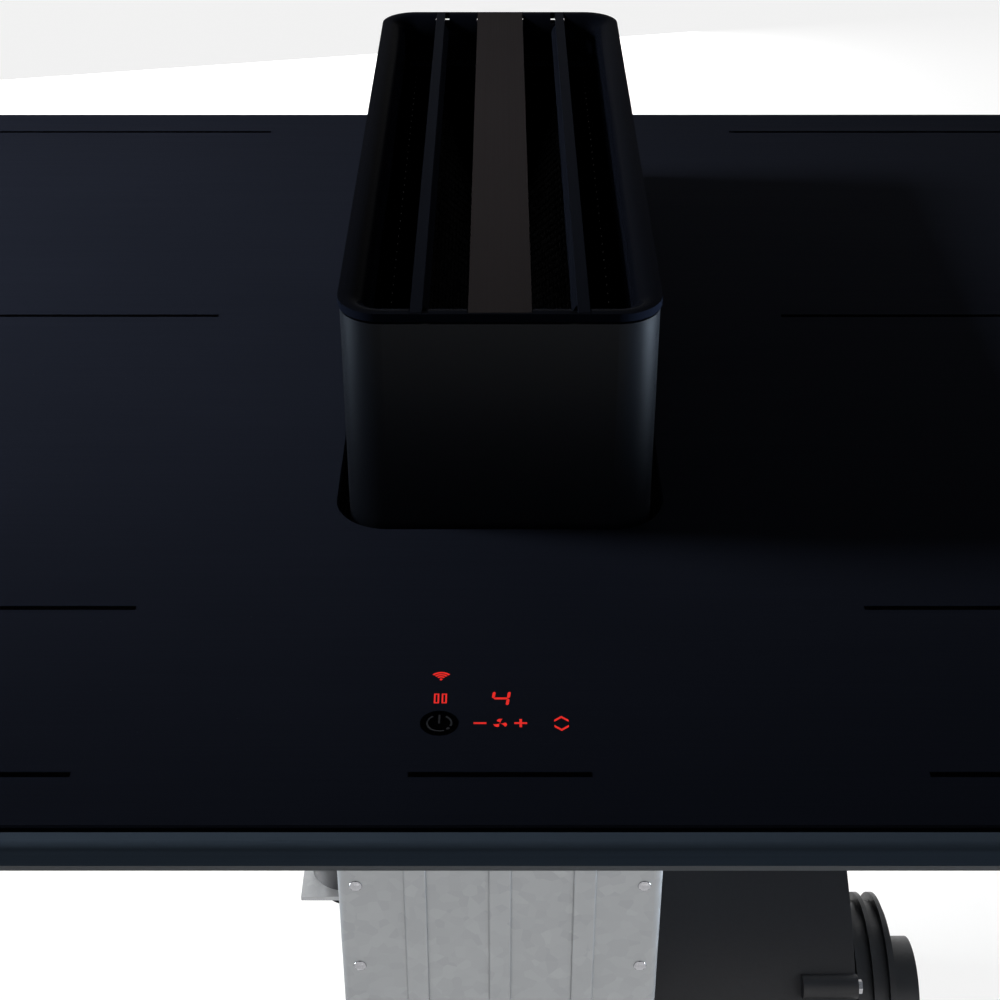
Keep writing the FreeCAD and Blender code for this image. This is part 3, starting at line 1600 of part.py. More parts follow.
def make_terminal_box():
    """The mains box on the shaft's left side, its cover and its cable gland."""
    wall = S.box_wall
    shell_right = -shaft_outer
    floor_x = shell_right - wall
    body = new_body("terminal_box")
    pad(body, "X", box_left + wall, shell_right,
        rectangle(box_front, box_back, box_low, box_high, S.box_corner))
    pocket(body, "X", box_left + wall, floor_x,
           rectangle(box_front + wall, box_back - wall, box_low + wall, box_high - wall,
                     S.box_corner - wall))
    gland_x = box_left + S.box_width / 2
    gland_y = box_back - S.gland_inset
    neck = S.gland_bore + S.gland_wall
    pocket(body, "Z", box_low, box_low + wall, (gland_x, gland_y, neck))
    block_front = box_front + S.block_height
    block_low = (box_low + box_high) / 2
    pad(body, "X", floor_x - S.block_depth, floor_x,
        rectangle(block_front, block_front + S.block_length, block_low,
                  block_low + S.block_height))
    node(body, "terminal_box")
    cover = plate("terminal_cover", "X", box_left, box_left + wall,
                  rectangle(box_front, box_back, box_low, box_high, S.box_corner))
    node(cover, "terminal_cover")
    nut = S.gland_bore + S.gland_nut
    length = S.gland_length
    profile = [(S.gland_bore, -length), (nut, -length), (nut, 0.0), (neck, 0.0),
               (neck, S.gland_neck), (S.gland_bore, S.gland_neck)]
    gland = spin("cable_gland", [profile])
    node(place(gland, gland_x, gland_y, box_low), "cable_gland")


def clip_outline(side):
    """A spring clip seen from the front: a leg on the tray's wall, then a bow."""
    near = module_outer * side
    far = near + S.clip_thickness * side
    top = -S.clip_top
    bow_top = top - S.clip_leg
    bow_low = bow_top - S.clip_bow
    radius = bulge_radius((far, bow_top), (far, bow_low), S.clip_bulge)
    return [((near, top), None), ((far, top), None), ((far, bow_top), (radius, -side)),
            ((far, bow_low), None), ((near, bow_low), (radius, side)), ((near, bow_top), None)]


def make_clips():
    """Four spring clips on the trays' outer walls that grip the sides of the cut-out."""
    clips = []
    for side in (-1, 1):
        for middle in clip_rows():
            clip = new_body("clip")
            sketch = sketch_at(clip, "Y", middle + S.clip_width / 2)
            draw_loop(sketch, clip_outline(side))
            strip = clip.newObject("PartDesign::Pad", "strip")
            strip.Profile = sketch
            bind(strip, "Length", S.clip_width)
            clips.append(clip)
    node(group(*clips), "worktop_clamps")


def clip_rows():
    return module_front + S.clip_inset, module_back - S.clip_inset


def hexagon_head(x, y, z):
    """A screw head with six flats that stands on a face square to X."""
    head = doc.addObject("Part::Prism", "head")
    head.Polygon = 6
    bind(head, "Circumradius", S.head_radius)
    bind(head, "Height", S.head_height)
    return place(head, x, y, z, TURNS["X"])


def make_screws():
    """Screw heads on the clips, the motor's flange, the blower's cover and the mains box."""
    heads = []
    height = S.head_height
    leg_z = -S.clip_top - S.clip_leg / 2
    for side in (-1, 1):
        face = module_outer + S.clip_thickness
        near, _ = sided(side, face, face + height)
        heads += [hexagon_head(near, y, leg_z) for y in clip_rows()]
    ring = (S.blower_motor_radius + S.motor_flange_width / 2) * math.sqrt(0.5)
    for y in (blower_y - ring, blower_y + ring):
        for z in (blower_z - ring, blower_z + ring):
            heads.append(hexagon_head(scroll_high + S.motor_flange, y, z))
    heads += [hexagon_head(scroll_high, y, z) for y, z in lug_spots()]
    inset = S.box_corner + S.head_radius
    for y in (box_front + inset, box_back - inset):
        heads += [hexagon_head(box_left - height, y, z)
                  for z in (box_low + inset, box_high - inset)]
    node(group(*heads), "screws")


make_glass()
make_trim()
make_rim_seal()
make_wiper()
make_shroud()
make_bezel()
make_inlet_bar()
make_vane(-1, "vane_left")
make_vane(1, "vane_right")
make_cross_ties()
make_filters()
make_carriage()
make_lift_nut()
make_shaft()
make_guides()
make_screw()
make_pulleys()
make_lift_motor()
make_drip_tray()
make_scroll()
make_inlet_ring()
make_wheel()
make_blower_motor()
make_transition()
make_spigot()
make_flaps()
make_tray(-1, "tray_left")
make_tray(1, "tray_right")
make_coils()
make_module_electronics()
make_control()
make_terminal_box()
make_clips()
make_screws()

# ---------------------------------------------------------------- checks and files

doc.recompute()
faults = []
for thing in doc.Objects:
    if "Invalid" in thing.State or "Error" in thing.State:
        faults.append(f"{thing.Name} ({thing.Label}): {thing.State}")
for label, thing in nodes.items():
    shape = thing.Shape
    if shape.isNull() or not shape.isValid() or shape.Volume <= 0:
        faults.append(f"{label}: shape is not sound")
if faults:
    raise RuntimeError("; ".join(faults))
os.makedirs("parts", exist_ok=True)
for label, thing in nodes.items():
    thing.Shape.exportStep(f"parts/{label}.step")
print(len(nodes), "sub-parts written")
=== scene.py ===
import json
import math

import bmesh
import bpy
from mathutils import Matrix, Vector


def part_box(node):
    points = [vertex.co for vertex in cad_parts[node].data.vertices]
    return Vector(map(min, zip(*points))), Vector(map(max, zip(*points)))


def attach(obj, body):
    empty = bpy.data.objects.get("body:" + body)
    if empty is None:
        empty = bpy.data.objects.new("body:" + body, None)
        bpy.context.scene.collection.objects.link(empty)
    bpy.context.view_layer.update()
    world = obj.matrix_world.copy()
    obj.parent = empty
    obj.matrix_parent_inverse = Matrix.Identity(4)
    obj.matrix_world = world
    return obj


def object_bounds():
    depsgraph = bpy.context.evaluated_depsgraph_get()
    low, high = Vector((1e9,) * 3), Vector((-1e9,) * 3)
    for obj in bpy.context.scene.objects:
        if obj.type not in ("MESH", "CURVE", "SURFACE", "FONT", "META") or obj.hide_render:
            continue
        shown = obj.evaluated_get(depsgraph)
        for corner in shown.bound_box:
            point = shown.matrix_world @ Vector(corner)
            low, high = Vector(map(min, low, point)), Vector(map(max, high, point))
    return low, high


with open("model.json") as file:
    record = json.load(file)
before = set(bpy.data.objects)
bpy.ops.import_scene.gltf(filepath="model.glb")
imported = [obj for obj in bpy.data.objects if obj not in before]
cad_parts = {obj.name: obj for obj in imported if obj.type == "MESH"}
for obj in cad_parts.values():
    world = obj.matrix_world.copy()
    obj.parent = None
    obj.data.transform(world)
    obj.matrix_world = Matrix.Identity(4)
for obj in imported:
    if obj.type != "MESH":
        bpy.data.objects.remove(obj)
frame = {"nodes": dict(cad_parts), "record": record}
cad_low, cad_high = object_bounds()
nodes = frame["nodes"]

MM = 0.001

# ------------------------------------------------------------------ places read from the frame

glass_low, glass_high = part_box("glass_plate")
GLASS_TOP = glass_high.z
# rows of the print, in millimetres from the middle, counted from the front edge of the glass
FRONT = glass_low.y / MM
CONTROL_LINE = FRONT + 20.2
KEY_ROW = FRONT + 41.7
DIGIT_ROW = FRONT + 52.6
SENSOR_ROW = FRONT + 61.2
FRONT_ZONE_LINE = FRONT + 96.2
REAR_ZONE_LINE = glass_high.y / MM - 23.5
# places of the signs along a row, in millimetres from the middle
PAUSE_LEFT_EDGES = (-18.8, -16.6)
KEY_X = -17.0
MINUS_X = -5.6
FAN_X = 0.1
DIGIT_X = 0.2
PLUS_X = 5.8
LIFT_X = 17.2

# ------------------------------------------------------------------ node tree helpers


class Graph:
    """Adds and joins the nodes of one tree."""

    def __init__(self, tree):
        self.tree = tree

    def add(self, kind, **settings):
        made = self.tree.nodes.new(kind)
        for name, value in settings.items():
            setattr(made, name, value)
        return made

    def join(self, source, target):
        self.tree.links.new(source, target)

    def feed(self, target, value):
        """Links a socket or sets a plain value."""
        if isinstance(value, bpy.types.NodeSocket):
            self.join(value, target)
        else:
            target.default_value = value

    def noise(self, vector, scale, detail=3.0, roughness=0.55):
        made = self.add("ShaderNodeTexNoise")
        self.feed(made.inputs["Vector"], vector)
        self.feed(made.inputs["Scale"], scale)
        self.feed(made.inputs["Detail"], detail)
        self.feed(made.inputs["Roughness"], roughness)
        return made.outputs["Fac"]

    def spread(self, value, low, high, to_low=0.0, to_high=1.0):
        made = self.add("ShaderNodeMapRange")
        for name, amount in zip(("Value", "From Min", "From Max", "To Min", "To Max"),
                                (value, low, high, to_low, to_high)):
            self.feed(made.inputs[name], amount)
        return made.outputs["Result"]

    def maths(self, operation, first, second=0.0):
        made = self.add("ShaderNodeMath", operation=operation)
        self.feed(made.inputs[0], first)
        self.feed(made.inputs[1], second)
        return made.outputs[0]

    def blend(self, factor, first, second):
        made = self.add("ShaderNodeMix", data_type="RGBA")
        self.feed(made.inputs["Factor"], factor)
        self.feed(made.inputs[6], first)
        self.feed(made.inputs[7], second)
        return made.outputs[2]

    def bump(self, height, depth):
        made = self.add("ShaderNodeBump")
        made.inputs["Strength"].default_value = 1.0
        self.feed(made.inputs["Distance"], depth)
        self.feed(made.inputs["Height"], height)
        return made.outputs["Normal"]

    def place(self):
        return self.add("ShaderNodeTexCoord").outputs["Object"]


def shader_group(name, inputs, outputs):
    """A new shader group with its named sockets. Returns its graph, inputs and output node."""
    tree = bpy.data.node_groups.new(name, "ShaderNodeTree")
    for label, kind, value in inputs:
        socket = tree.interface.new_socket(name=label, in_out="INPUT", socket_type=kind)
        socket.default_value = value
    for label, kind in outputs:
        tree.interface.new_socket(name=label, in_out="OUTPUT", socket_type=kind)
    graph = Graph(tree)
    return graph, graph.add("NodeGroupInput").outputs, graph.add("NodeGroupOutput").inputs


FLOAT, COLOUR, VECTOR = "NodeSocketFloat", "NodeSocketColor", "NodeSocketVector"


def make_brushing():
    """Fine parallel scratches: long along one direction, dense across it."""
    graph, given, result = shader_group(
        "fine_brushing",
        [("Stretch", VECTOR, (8.0, 2500.0, 2500.0)), ("Depth", FLOAT, 0.00002)],
        [("Mask", FLOAT), ("Normal", VECTOR)])
    mapping = graph.add("ShaderNodeMapping")
    graph.join(graph.place(), mapping.inputs["Vector"])
    graph.join(given["Stretch"], mapping.inputs["Scale"])
    lines = graph.noise(mapping.outputs["Vector"], 1.0, detail=4.0, roughness=0.65)
    mask = graph.spread(lines, 0.3, 0.7)
    graph.join(mask, result["Mask"])
    graph.join(graph.bump(mask, given["Depth"]), result["Normal"])
    return graph.tree


def make_grain():
    """Even fine grain of moulded plastic, cast metal or paint."""
    graph, given, result = shader_group(
        "fine_grain", [("Scale", FLOAT, 900.0), ("Depth", FLOAT, 0.00003)],
        [("Mask", FLOAT), ("Normal", VECTOR)])
    mask = graph.noise(graph.place(), given["Scale"], detail=5.0, roughness=0.6)
    graph.join(mask, result["Mask"])
    graph.join(graph.bump(mask, given["Depth"]), result["Normal"])
    return graph.tree


def make_drift():
    """A slow change between two shades over a surface."""
    graph, given, result = shader_group(
        "slow_drift",
        [("Shade", COLOUR, (0.5, 0.5, 0.5, 1.0)), ("Other Shade", COLOUR, (0.4, 0.4, 0.4, 1.0)),
         ("Scale", FLOAT, 9.0)],
        [("Colour", COLOUR), ("Mask", FLOAT)])
    cloud = graph.noise(graph.place(), given["Scale"], detail=4.0, roughness=0.6)
    mask = graph.spread(cloud, 0.35, 0.65)
    graph.join(mask, result["Mask"])
    graph.join(graph.blend(mask, given["Shade"], given["Other Shade"]), result["Colour"])
    return graph.tree


def make_dust():
    """A mask of tiny specks, scattered at random over part of the cells of a pattern."""
    graph, given, result = shader_group(
        "dust_specks", [("Scale", FLOAT, 160.0), ("Amount", FLOAT, 0.06)], [("Mask", FLOAT)])
    cells = graph.add("ShaderNodeTexVoronoi", feature="F1")
    graph.join(graph.place(), cells.inputs["Vector"])
    graph.join(given["Scale"], cells.inputs["Scale"])
    near = graph.maths("LESS_THAN", cells.outputs["Distance"], given["Amount"])
    chance = graph.add("ShaderNodeSeparateColor")
    graph.join(cells.outputs["Color"], chance.inputs["Color"])
    bare_share = 0.72
    picked = graph.maths("GREATER_THAN", chance.outputs["Red"], bare_share)
    graph.join(graph.maths("MULTIPLY", near, picked), result["Mask"])
    return graph.tree


BRUSHING = make_brushing()
GRAIN = make_grain()
DRIFT = make_drift()
DUST = make_dust()


def use_group(graph, tree, **values):
    """Adds a shader group with some of its inputs set; returns its outputs."""
    made = graph.add("ShaderNodeGroup", node_tree=tree)
    for name, value in values.items():
        graph.feed(made.inputs[name.replace("_", " ")], value)
    return made.outputs


def rgba(shade):
    return (*shade, 1.0)


def new_material(name, metallic=0.0, specular=0.5):
    """A material with one shader. Returns it, its graph and the shader's inputs."""
    made = bpy.data.materials.new(name)
    made.use_nodes = True
    made.node_tree.nodes.clear()
    graph = Graph(made.node_tree)
    shader = graph.add("ShaderNodeBsdfPrincipled")
    output = graph.add("ShaderNodeOutputMaterial")
    graph.join(shader.outputs["BSDF"], output.inputs["Surface"])
    shader.inputs["Metallic"].default_value = metallic
    shader.inputs["Specular IOR Level"].default_value = specular
    return made, graph, shader.inputs


def grained(name, shade, other, roughness, metallic=0.0, specular=0.5, scale=900.0,
            depth=0.00002, drift=9.0):
    """A finish with slow drift between two shades and an even fine grain."""
    made, graph, surface = new_material(name, metallic, specular)
    drifted = use_group(graph, DRIFT, Shade=rgba(shade), Other_Shade=rgba(other), Scale=drift)
    grain = use_group(graph, GRAIN, Scale=scale, Depth=depth)
    graph.join(drifted["Colour"], surface["Base Color"])
    rough = graph.spread(grain["Mask"], 0.3, 0.7, roughness * 0.85, min(roughness * 1.15, 1.0))
    graph.join(rough, surface["Roughness"])
    graph.join(grain["Normal"], surface["Normal"])
    return made


def brushed(name, shade, other, roughness, metallic=1.0, specular=0.5,
            stretch=(8.0, 2500.0, 2500.0), depth=0.00001):
    """A finish with fine parallel lines over slow drift."""
    made, graph, surface = new_material(name, metallic, specular)
    lines = use_group(graph, BRUSHING, Stretch=stretch, Depth=depth)
    drifted = use_group(graph, DRIFT, Shade=rgba(shade), Other_Shade=rgba(other), Scale=6.0)
    darker = graph.blend(graph.spread(lines["Mask"], 0.0, 1.0, 0.0, 0.35), drifted["Colour"],
                         rgba([part * 0.6 for part in shade]))
    graph.join(darker, surface["Base Color"])
    graph.join(graph.spread(lines["Mask"], 0.0, 1.0, roughness * 0.85, roughness * 1.2),
               surface["Roughness"])
    graph.join(lines["Normal"], surface["Normal"])
    return made


def make_glass_finish():
    """Matt anthracite glass with fine brushed lines along X and a few dust specks."""
    made, graph, surface = new_material("dark_glass", specular=0.002)
    lines = use_group(graph, BRUSHING, Stretch=(14.0, 2600.0, 800.0), Depth=0.000004)
    drifted = use_group(graph, DRIFT, Shade=(0.0096, 0.0116, 0.0186, 1.0),
                        Other_Shade=(0.0087, 0.0106, 0.0170, 1.0), Scale=7.0)
    lined = graph.blend(graph.spread(lines["Mask"], 0.0, 1.0, 0.0, 0.6), drifted["Colour"],
                        (0.0063, 0.0076, 0.0125, 1.0))
    specks = use_group(graph, DUST, Scale=110.0, Amount=0.03)
    graph.join(graph.blend(specks["Mask"], lined, (0.02, 0.022, 0.028, 1.0)),
               surface["Base Color"])
    graph.join(graph.spread(lines["Mask"], 0.0, 1.0, 0.46, 0.6), surface["Roughness"])
    graph.join(lines["Normal"], surface["Normal"])
    return made


def make_zinc_finish():
    """Galvanised sheet: flat crystals of slightly different brightness."""
    made, graph, surface = new_material("zinc_sheet", metallic=1.0)
    crystals = graph.add("ShaderNodeTexVoronoi", feature="F1")
    graph.join(graph.place(), crystals.inputs["Vector"])
    crystals.inputs["Scale"].default_value = 230.0
    parts = graph.add("ShaderNodeSeparateColor")
    graph.join(crystals.outputs["Color"], parts.inputs["Color"])
    grain = use_group(graph, GRAIN, Scale=700.0, Depth=0.000008)
    flake = graph.blend(parts.outputs["Red"], (0.33, 0.34, 0.35, 1.0), (0.38, 0.39, 0.40, 1.0))
    drifted = use_group(graph, DRIFT, Shade=(0.35, 0.36, 0.37, 1.0),
                        Other_Shade=(0.30, 0.31, 0.32, 1.0), Scale=5.0)
    graph.join(graph.blend(0.45, flake, drifted["Colour"]), surface["Base Color"])
    graph.join(graph.spread(parts.outputs["Green"], 0.0, 1.0, 0.44, 0.55), surface["Roughness"])
    graph.join(grain["Normal"], surface["Normal"])
    return made


def make_board_finish():
    """Circuit board: green lacquer over a net of tracks, with small solder points."""
    made, graph, surface = new_material("circuit_board", specular=0.45)
    tracks = graph.add("ShaderNodeTexBrick")
    graph.join(graph.place(), tracks.inputs["Vector"])
    tracks.inputs["Scale"].default_value = 120.0
    tracks.inputs["Mortar Size"].default_value = 0.03
    tracks.inputs["Color1"].default_value = (0.004, 0.045, 0.02, 1.0)
    tracks.inputs["Color2"].default_value = (0.006, 0.06, 0.028, 1.0)
    tracks.inputs["Mortar"].default_value = (0.02, 0.16, 0.07, 1.0)
    solder = use_group(graph, DUST, Scale=300.0, Amount=0.25)
    graph.join(graph.blend(solder["Mask"], tracks.outputs["Color"], (0.5, 0.5, 0.52, 1.0)),
               surface["Base Color"])
    graph.join(graph.spread(solder["Mask"], 0.0, 1.0, 0.35, 0.25), surface["Roughness"])
    graph.join(graph.bump(tracks.outputs["Fac"], 0.00005), surface["Normal"])
    return made


def make_lit_finish(name, shade, glow, strength):
    """A lit sign under the glass, slightly uneven across its strokes."""
    made, graph, surface = new_material(name, specular=0.1)
    drifted = use_group(graph, DRIFT, Shade=rgba(glow), Other_Shade=rgba([v * 0.8 for v in glow]),
                        Scale=260.0)
    surface["Base Color"].default_value = rgba(shade)
    surface["Roughness"].default_value = 0.5
    graph.join(drifted["Colour"], surface["Emission Color"])
    surface["Emission Strength"].default_value = strength
    return made


finishes = {
    "dark_glass": make_glass_finish(),
    "front_strip": brushed("front_strip", (0.056, 0.079, 0.110), (0.050, 0.071, 0.101), 0.42,
                           metallic=0.05, specular=0.02, stretch=(6.0, 3000.0, 3000.0)),
    "tower_black": grained("tower_black", (0.0016, 0.0022, 0.0037), (0.0012, 0.0018, 0.0031), 0.4,
                           specular=0.13, scale=1500.0, depth=0.000006),
    "rim_black": grained("rim_black", (0.0034, 0.0041, 0.0070), (0.0029, 0.0036, 0.0062), 0.26,
                         specular=0.001, scale=1800.0, depth=0.000004),
    "warm_bar": brushed("warm_bar", (0.0290, 0.0256, 0.0266), (0.0262, 0.0230, 0.0240), 0.5,
                        metallic=0.0, specular=0.001, stretch=(3200.0, 9.0, 3200.0)),
    "vane_black": grained("vane_black", (0.0052, 0.0064, 0.0104), (0.0046, 0.0057, 0.0094), 0.35,
                          specular=0.001, scale=1800.0, depth=0.000004),
    "foam": grained("foam", (0.012, 0.012, 0.012), (0.02, 0.02, 0.02), 0.95, specular=0.1,
                    scale=500.0, depth=0.0002),
    "rubber": grained("rubber", (0.0035, 0.0035, 0.0036), (0.005, 0.005, 0.0052), 0.75,
                      specular=0.04, scale=1200.0, depth=0.00002),
    # painted shade: the slot's wiper lips are coloured blacker than the rubber, with almost no
    # gloss, to stand for the shade inside the slot gap
    "slot_lip_painted_shade": grained("slot_lip_painted_shade", (0.0010, 0.0010, 0.0012), (0.0014, 0.0014, 0.0016), 0.8,
                        specular=0.004, scale=1200.0, depth=0.00002),
    # painted shade: the filter panels and their frame are coloured near black, with no gloss, to
    # stand for the shade deep inside the tower
    "filter_painted_shade_black": brushed("filter_painted_shade_black", (0.0012, 0.0013, 0.0016), (0.0009, 0.0010, 0.0013),
                            0.5, metallic=0.0, specular=0.0, stretch=(900.0, 20.0, 900.0)),
    "filter_edge_painted_shade_black": grained("filter_edge_painted_shade_black", (0.0012, 0.0013, 0.0016), (0.0009, 0.0010, 0.0013), 0.5,
                           specular=0.0, scale=1200.0, depth=0.00001),
    "mesh_wire": grained("mesh_wire", (0.010, 0.0102, 0.0112), (0.007, 0.0072, 0.008), 0.4,
                         metallic=0.2, specular=0.1, scale=1500.0, depth=0.00001),
    "zinc_sheet": make_zinc_finish(),
    "ground_steel": brushed("ground_steel", (0.45, 0.45, 0.47), (0.38, 0.38, 0.40), 0.22,
                            stretch=(2200.0, 2200.0, 12.0)),
    "cast_alloy": grained("cast_alloy", (0.36, 0.36, 0.38), (0.28, 0.28, 0.30), 0.48, metallic=1.0,
                          scale=450.0, depth=0.00008),
    "acetal": grained("acetal", (0.70, 0.70, 0.66), (0.64, 0.64, 0.60), 0.38, scale=800.0,
                      depth=0.00001),
    "brass": brushed("brass", (0.55, 0.36, 0.12), (0.45, 0.29, 0.10), 0.3,
                     stretch=(200.0, 200.0, 5000.0)),
    "dark_plastic": grained("dark_plastic", (0.022, 0.022, 0.025), (0.016, 0.016, 0.019), 0.5,
                            specular=0.4, scale=700.0, depth=0.00006),
    "grey_plastic": grained("grey_plastic", (0.16, 0.17, 0.18), (0.13, 0.14, 0.15), 0.5,
                            specular=0.4, scale=700.0, depth=0.00005),
    "motor_paint": grained("motor_paint", (0.045, 0.046, 0.05), (0.03, 0.031, 0.034), 0.4,
                           metallic=0.4, scale=600.0, depth=0.00006),
    "copper_wire": brushed("copper_wire", (0.42, 0.13, 0.045), (0.34, 0.10, 0.035), 0.38,
                           metallic=0.8, stretch=(900.0, 900.0, 900.0), depth=0.00004),
    "ferrite": grained("ferrite", (0.03, 0.03, 0.034), (0.045, 0.045, 0.05), 0.6, scale=400.0,
                       depth=0.00008),
    "mica": grained("mica", (0.42, 0.38, 0.30), (0.50, 0.46, 0.38), 0.55, scale=150.0,
                    depth=0.00005, drift=40.0),
    "board": make_board_finish(),
    "milky_guide": grained("milky_guide", (0.75, 0.75, 0.75), (0.68, 0.68, 0.70), 0.35,
                           scale=900.0),
    "sensor": grained("sensor", (0.55, 0.53, 0.48), (0.48, 0.46, 0.42), 0.6, scale=600.0),
    "print_black": grained("print_black", (0.0010, 0.0010, 0.0013), (0.0006, 0.0006, 0.0009), 0.6,
                           specular=0.0, scale=2000.0, depth=0.000002),
    "sign_grey": grained("sign_grey", (0.036, 0.038, 0.043), (0.030, 0.032, 0.036), 0.6,
                         specular=0.0, scale=2000.0, depth=0.000002),
    "sign_red": make_lit_finish("sign_red", (0.01, 0.002, 0.002), (0.80, 0.022, 0.016), 1.0),
}

SLOT_FINISH = {
    "black_glass": "dark_glass", "satin_metal": "front_strip", "seal_foam": "foam",
    "tower_finish": "tower_black", "bezel_black": "rim_black", "bar_anodised": "warm_bar",
    "vane_black": "vane_black", "filter_mesh": "filter_painted_shade_black", "zinc_sheet": "zinc_sheet",
    "bright_steel": "ground_steel", "cast_alloy": "cast_alloy", "white_acetal": "acetal",
    "brass": "brass", "black_rubber": "rubber", "dark_plastic": "dark_plastic",
    "grey_plastic": "grey_plastic", "motor_metal": "motor_paint", "copper_litz": "copper_wire",
    "ferrite": "ferrite", "mica": "mica", "board": "board", "light_pipe": "milky_guide",
    "sensor": "sensor",
}
# nodes whose finish isn't that of their slot
NODE_FINISH = {"filter_frame": "filter_edge_painted_shade_black", "slot_wiper": "slot_lip_painted_shade"}


def dress_nodes():
    """Gives every node the finish of its material slot."""
    for part in frame["record"]["subparts"]:
        name = NODE_FINISH.get(part["node"], SLOT_FINISH[part["material_slot"]])
        for holder in nodes[part["node"]].material_slots:
            holder.material = finishes[name]


dress_nodes()

# ------------------------------------------------------------------ making pieces


def add_piece(name, mesh, body, finish):
    """A finished piece: its mesh in the frame's coordinates, riding on a body."""
    mesh.materials.clear()
    mesh.materials.append(finishes[finish])
    piece = bpy.data.objects.new(name, mesh)
    bpy.context.scene.collection.objects.link(piece)
    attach(piece, body)
    return piece


def mesh_from(shape, name):
    """Turns a bmesh into a mesh and frees it."""
    mesh = bpy.data.meshes.new(name)
    shape.to_mesh(mesh)
    shape.free()
    return mesh


def raise_outline(shape, outline, low, high):
    """Adds an upright prism over a closed outline that runs against the clock."""
    bottom = [shape.verts.new((x, y, low)) for x, y in outline]
    top = [shape.verts.new((x, y, high)) for x, y in outline]
    shape.faces.new(list(reversed(bottom)))
    shape.faces.new(top)
    count = len(outline)
    for index in range(count):
        following = (index + 1) % count
        shape.faces.new((bottom[index], bottom[following], top[following], top[index]))


def bar(left, right, front, back):
    """The outline of an upright rectangle, seen from above."""
    return [(left, front), (right, front), (right, back), (left, back)]


def arc_points(x, y, radius, start, end, count):
    """Points on an arc; angles in degrees, against the clock from +X."""
    points = []
    for index in range(count + 1):
        angle = math.radians(start + (end - start) * index / count)
        points.append((x + radius * math.cos(angle), y + radius * math.sin(angle)))
    return points


def arc_band(x, y, radius, width, start, end, count):
    """The outline of a curved stroke of even width."""
    outer = arc_points(x, y, radius + width / 2, start, end, count)
    inner = arc_points(x, y, radius - width / 2, start, end, count)
    return outer + list(reversed(inner))


def disc(x, y, radius, count):
    """The outline of a full round with count corners."""
    return arc_points(x, y, radius, 0, 360, count)[:-1]


# heights of the print, a hair above the glass
PRINT_LOW = GLASS_TOP + 0.01 * MM
PRINT_HIGH = GLASS_TOP + 0.05 * MM
SIGN_LOW = GLASS_TOP + 0.06 * MM
SIGN_HIGH = GLASS_TOP + 0.08 * MM


def print_piece(name, outlines, finish, low=PRINT_LOW, high=PRINT_HIGH):
    """One printed piece on the glass, from outlines in millimetres."""
    shape = bmesh.new()
    for outline in outlines:
        raise_outline(shape, [(x * MM, y * MM) for x, y in outline], low, high)
    return add_piece(name, mesh_from(shape, name), "hob", finish)


def line_outlines():
    """The zone lines either side of the tower and the line below the signs."""
    half = 1.0
    outer = 366.0
    zone_start = 111.0
    control_start = 116.0
    middle_reach = 24.9
    middle_line = (FRONT_ZONE_LINE + REAR_ZONE_LINE) / 2
    spans = []
    for y in (FRONT_ZONE_LINE, middle_line, REAR_ZONE_LINE):
        spans += [(-outer, -zone_start, y), (zone_start, outer, y)]
    spans += [(-outer, -control_start, CONTROL_LINE), (-middle_reach, middle_reach, CONTROL_LINE),
              (control_start, outer, CONTROL_LINE)]
    return [bar(left, right, y - half, y + half) for left, right, y in spans]


def seven_segment(x, y, width, height, stroke, lit):
    """The lit segments of a slanted numeral, each with pointed ends."""
    slant = 0.12
    half = stroke / 2
    gap = stroke * 0.12

    def flat_segment(at):
        left, right = x - width / 2 + gap, x + width / 2 - gap
        return [(left, at), (left + half, at - half), (right - half, at - half), (right, at),
                (right - half, at + half), (left + half, at + half)]

    def tall_segment(at, low, high):
        low, high = low + gap, high - gap
        return [(at, low), (at + half, low + half), (at + half, high - half), (at, high),
                (at - half, high - half), (at - half, low + half)]

    top, bottom = y + height / 2, y - height / 2
    left, right = x - width / 2, x + width / 2
    segments = {
        "top": flat_segment(top), "middle": flat_segment(y), "bottom": flat_segment(bottom),
        "upper_left": tall_segment(left, y, top), "upper_right": tall_segment(right, y, top),
        "lower_left": tall_segment(left, bottom, y), "lower_right": tall_segment(right, bottom, y),
    }
    return [[(px + (py - y) * slant, py) for px, py in segments[name]] for name in lit]


def frame_outline(left, right, front, back, stroke):
    """The four strokes of an upright rectangle."""
    return [bar(left, left + stroke, front, back), bar(right - stroke, right, front, back),
            bar(left + stroke, right - stroke, front, front + stroke),
            bar(left + stroke, right - stroke, back - stroke, back)]


def red_signs():
    """Reception arcs, pause, numeral, minus, fan, plus and chevrons."""
    arcs_foot = SENSOR_ROW + 0.1
    outlines = [disc(KEY_X, arcs_foot, radius=0.42, count=16)]
    for radius in (1.2, 2.15, 3.1):
        outlines.append(arc_band(KEY_X, arcs_foot, radius, width=0.62, start=42, end=138,
                                 count=12))
    pause_half, pause_width = 2.15, 1.5
    for left in PAUSE_LEFT_EDGES:
        outlines += frame_outline(left, left + pause_width, DIGIT_ROW - pause_half,
                                  DIGIT_ROW + pause_half, stroke=0.46)
    outlines += seven_segment(DIGIT_X, DIGIT_ROW, width=4.3, height=6.2, stroke=0.85,
                              lit=("upper_left", "middle", "upper_right", "lower_right"))
    outlines += minus_and_plus()
    for turn in (90, 210, 330):
        outlines.append(fan_blade(FAN_X, KEY_ROW - 0.1, radius=2.0, turn=turn))
    for middle, way in ((KEY_ROW + 2.3, 1), (KEY_ROW - 2.5, -1)):
        outlines.append(chevron(LIFT_X, middle, width=4.0, rise=1.7 * way, stroke=0.85))
    return outlines


def minus_and_plus():
    """The two signs either side of the fan, in one stroke width."""
    half, reach, rise = 0.36, 1.8, 1.75
    outlines = [bar(x - reach, x + reach, KEY_ROW - half, KEY_ROW + half)
                for x in (MINUS_X, PLUS_X)]
    for front, back in ((half, rise), (-rise, -half)):
        outlines.append(bar(PLUS_X - half, PLUS_X + half, KEY_ROW + front, KEY_ROW + back))
    return outlines


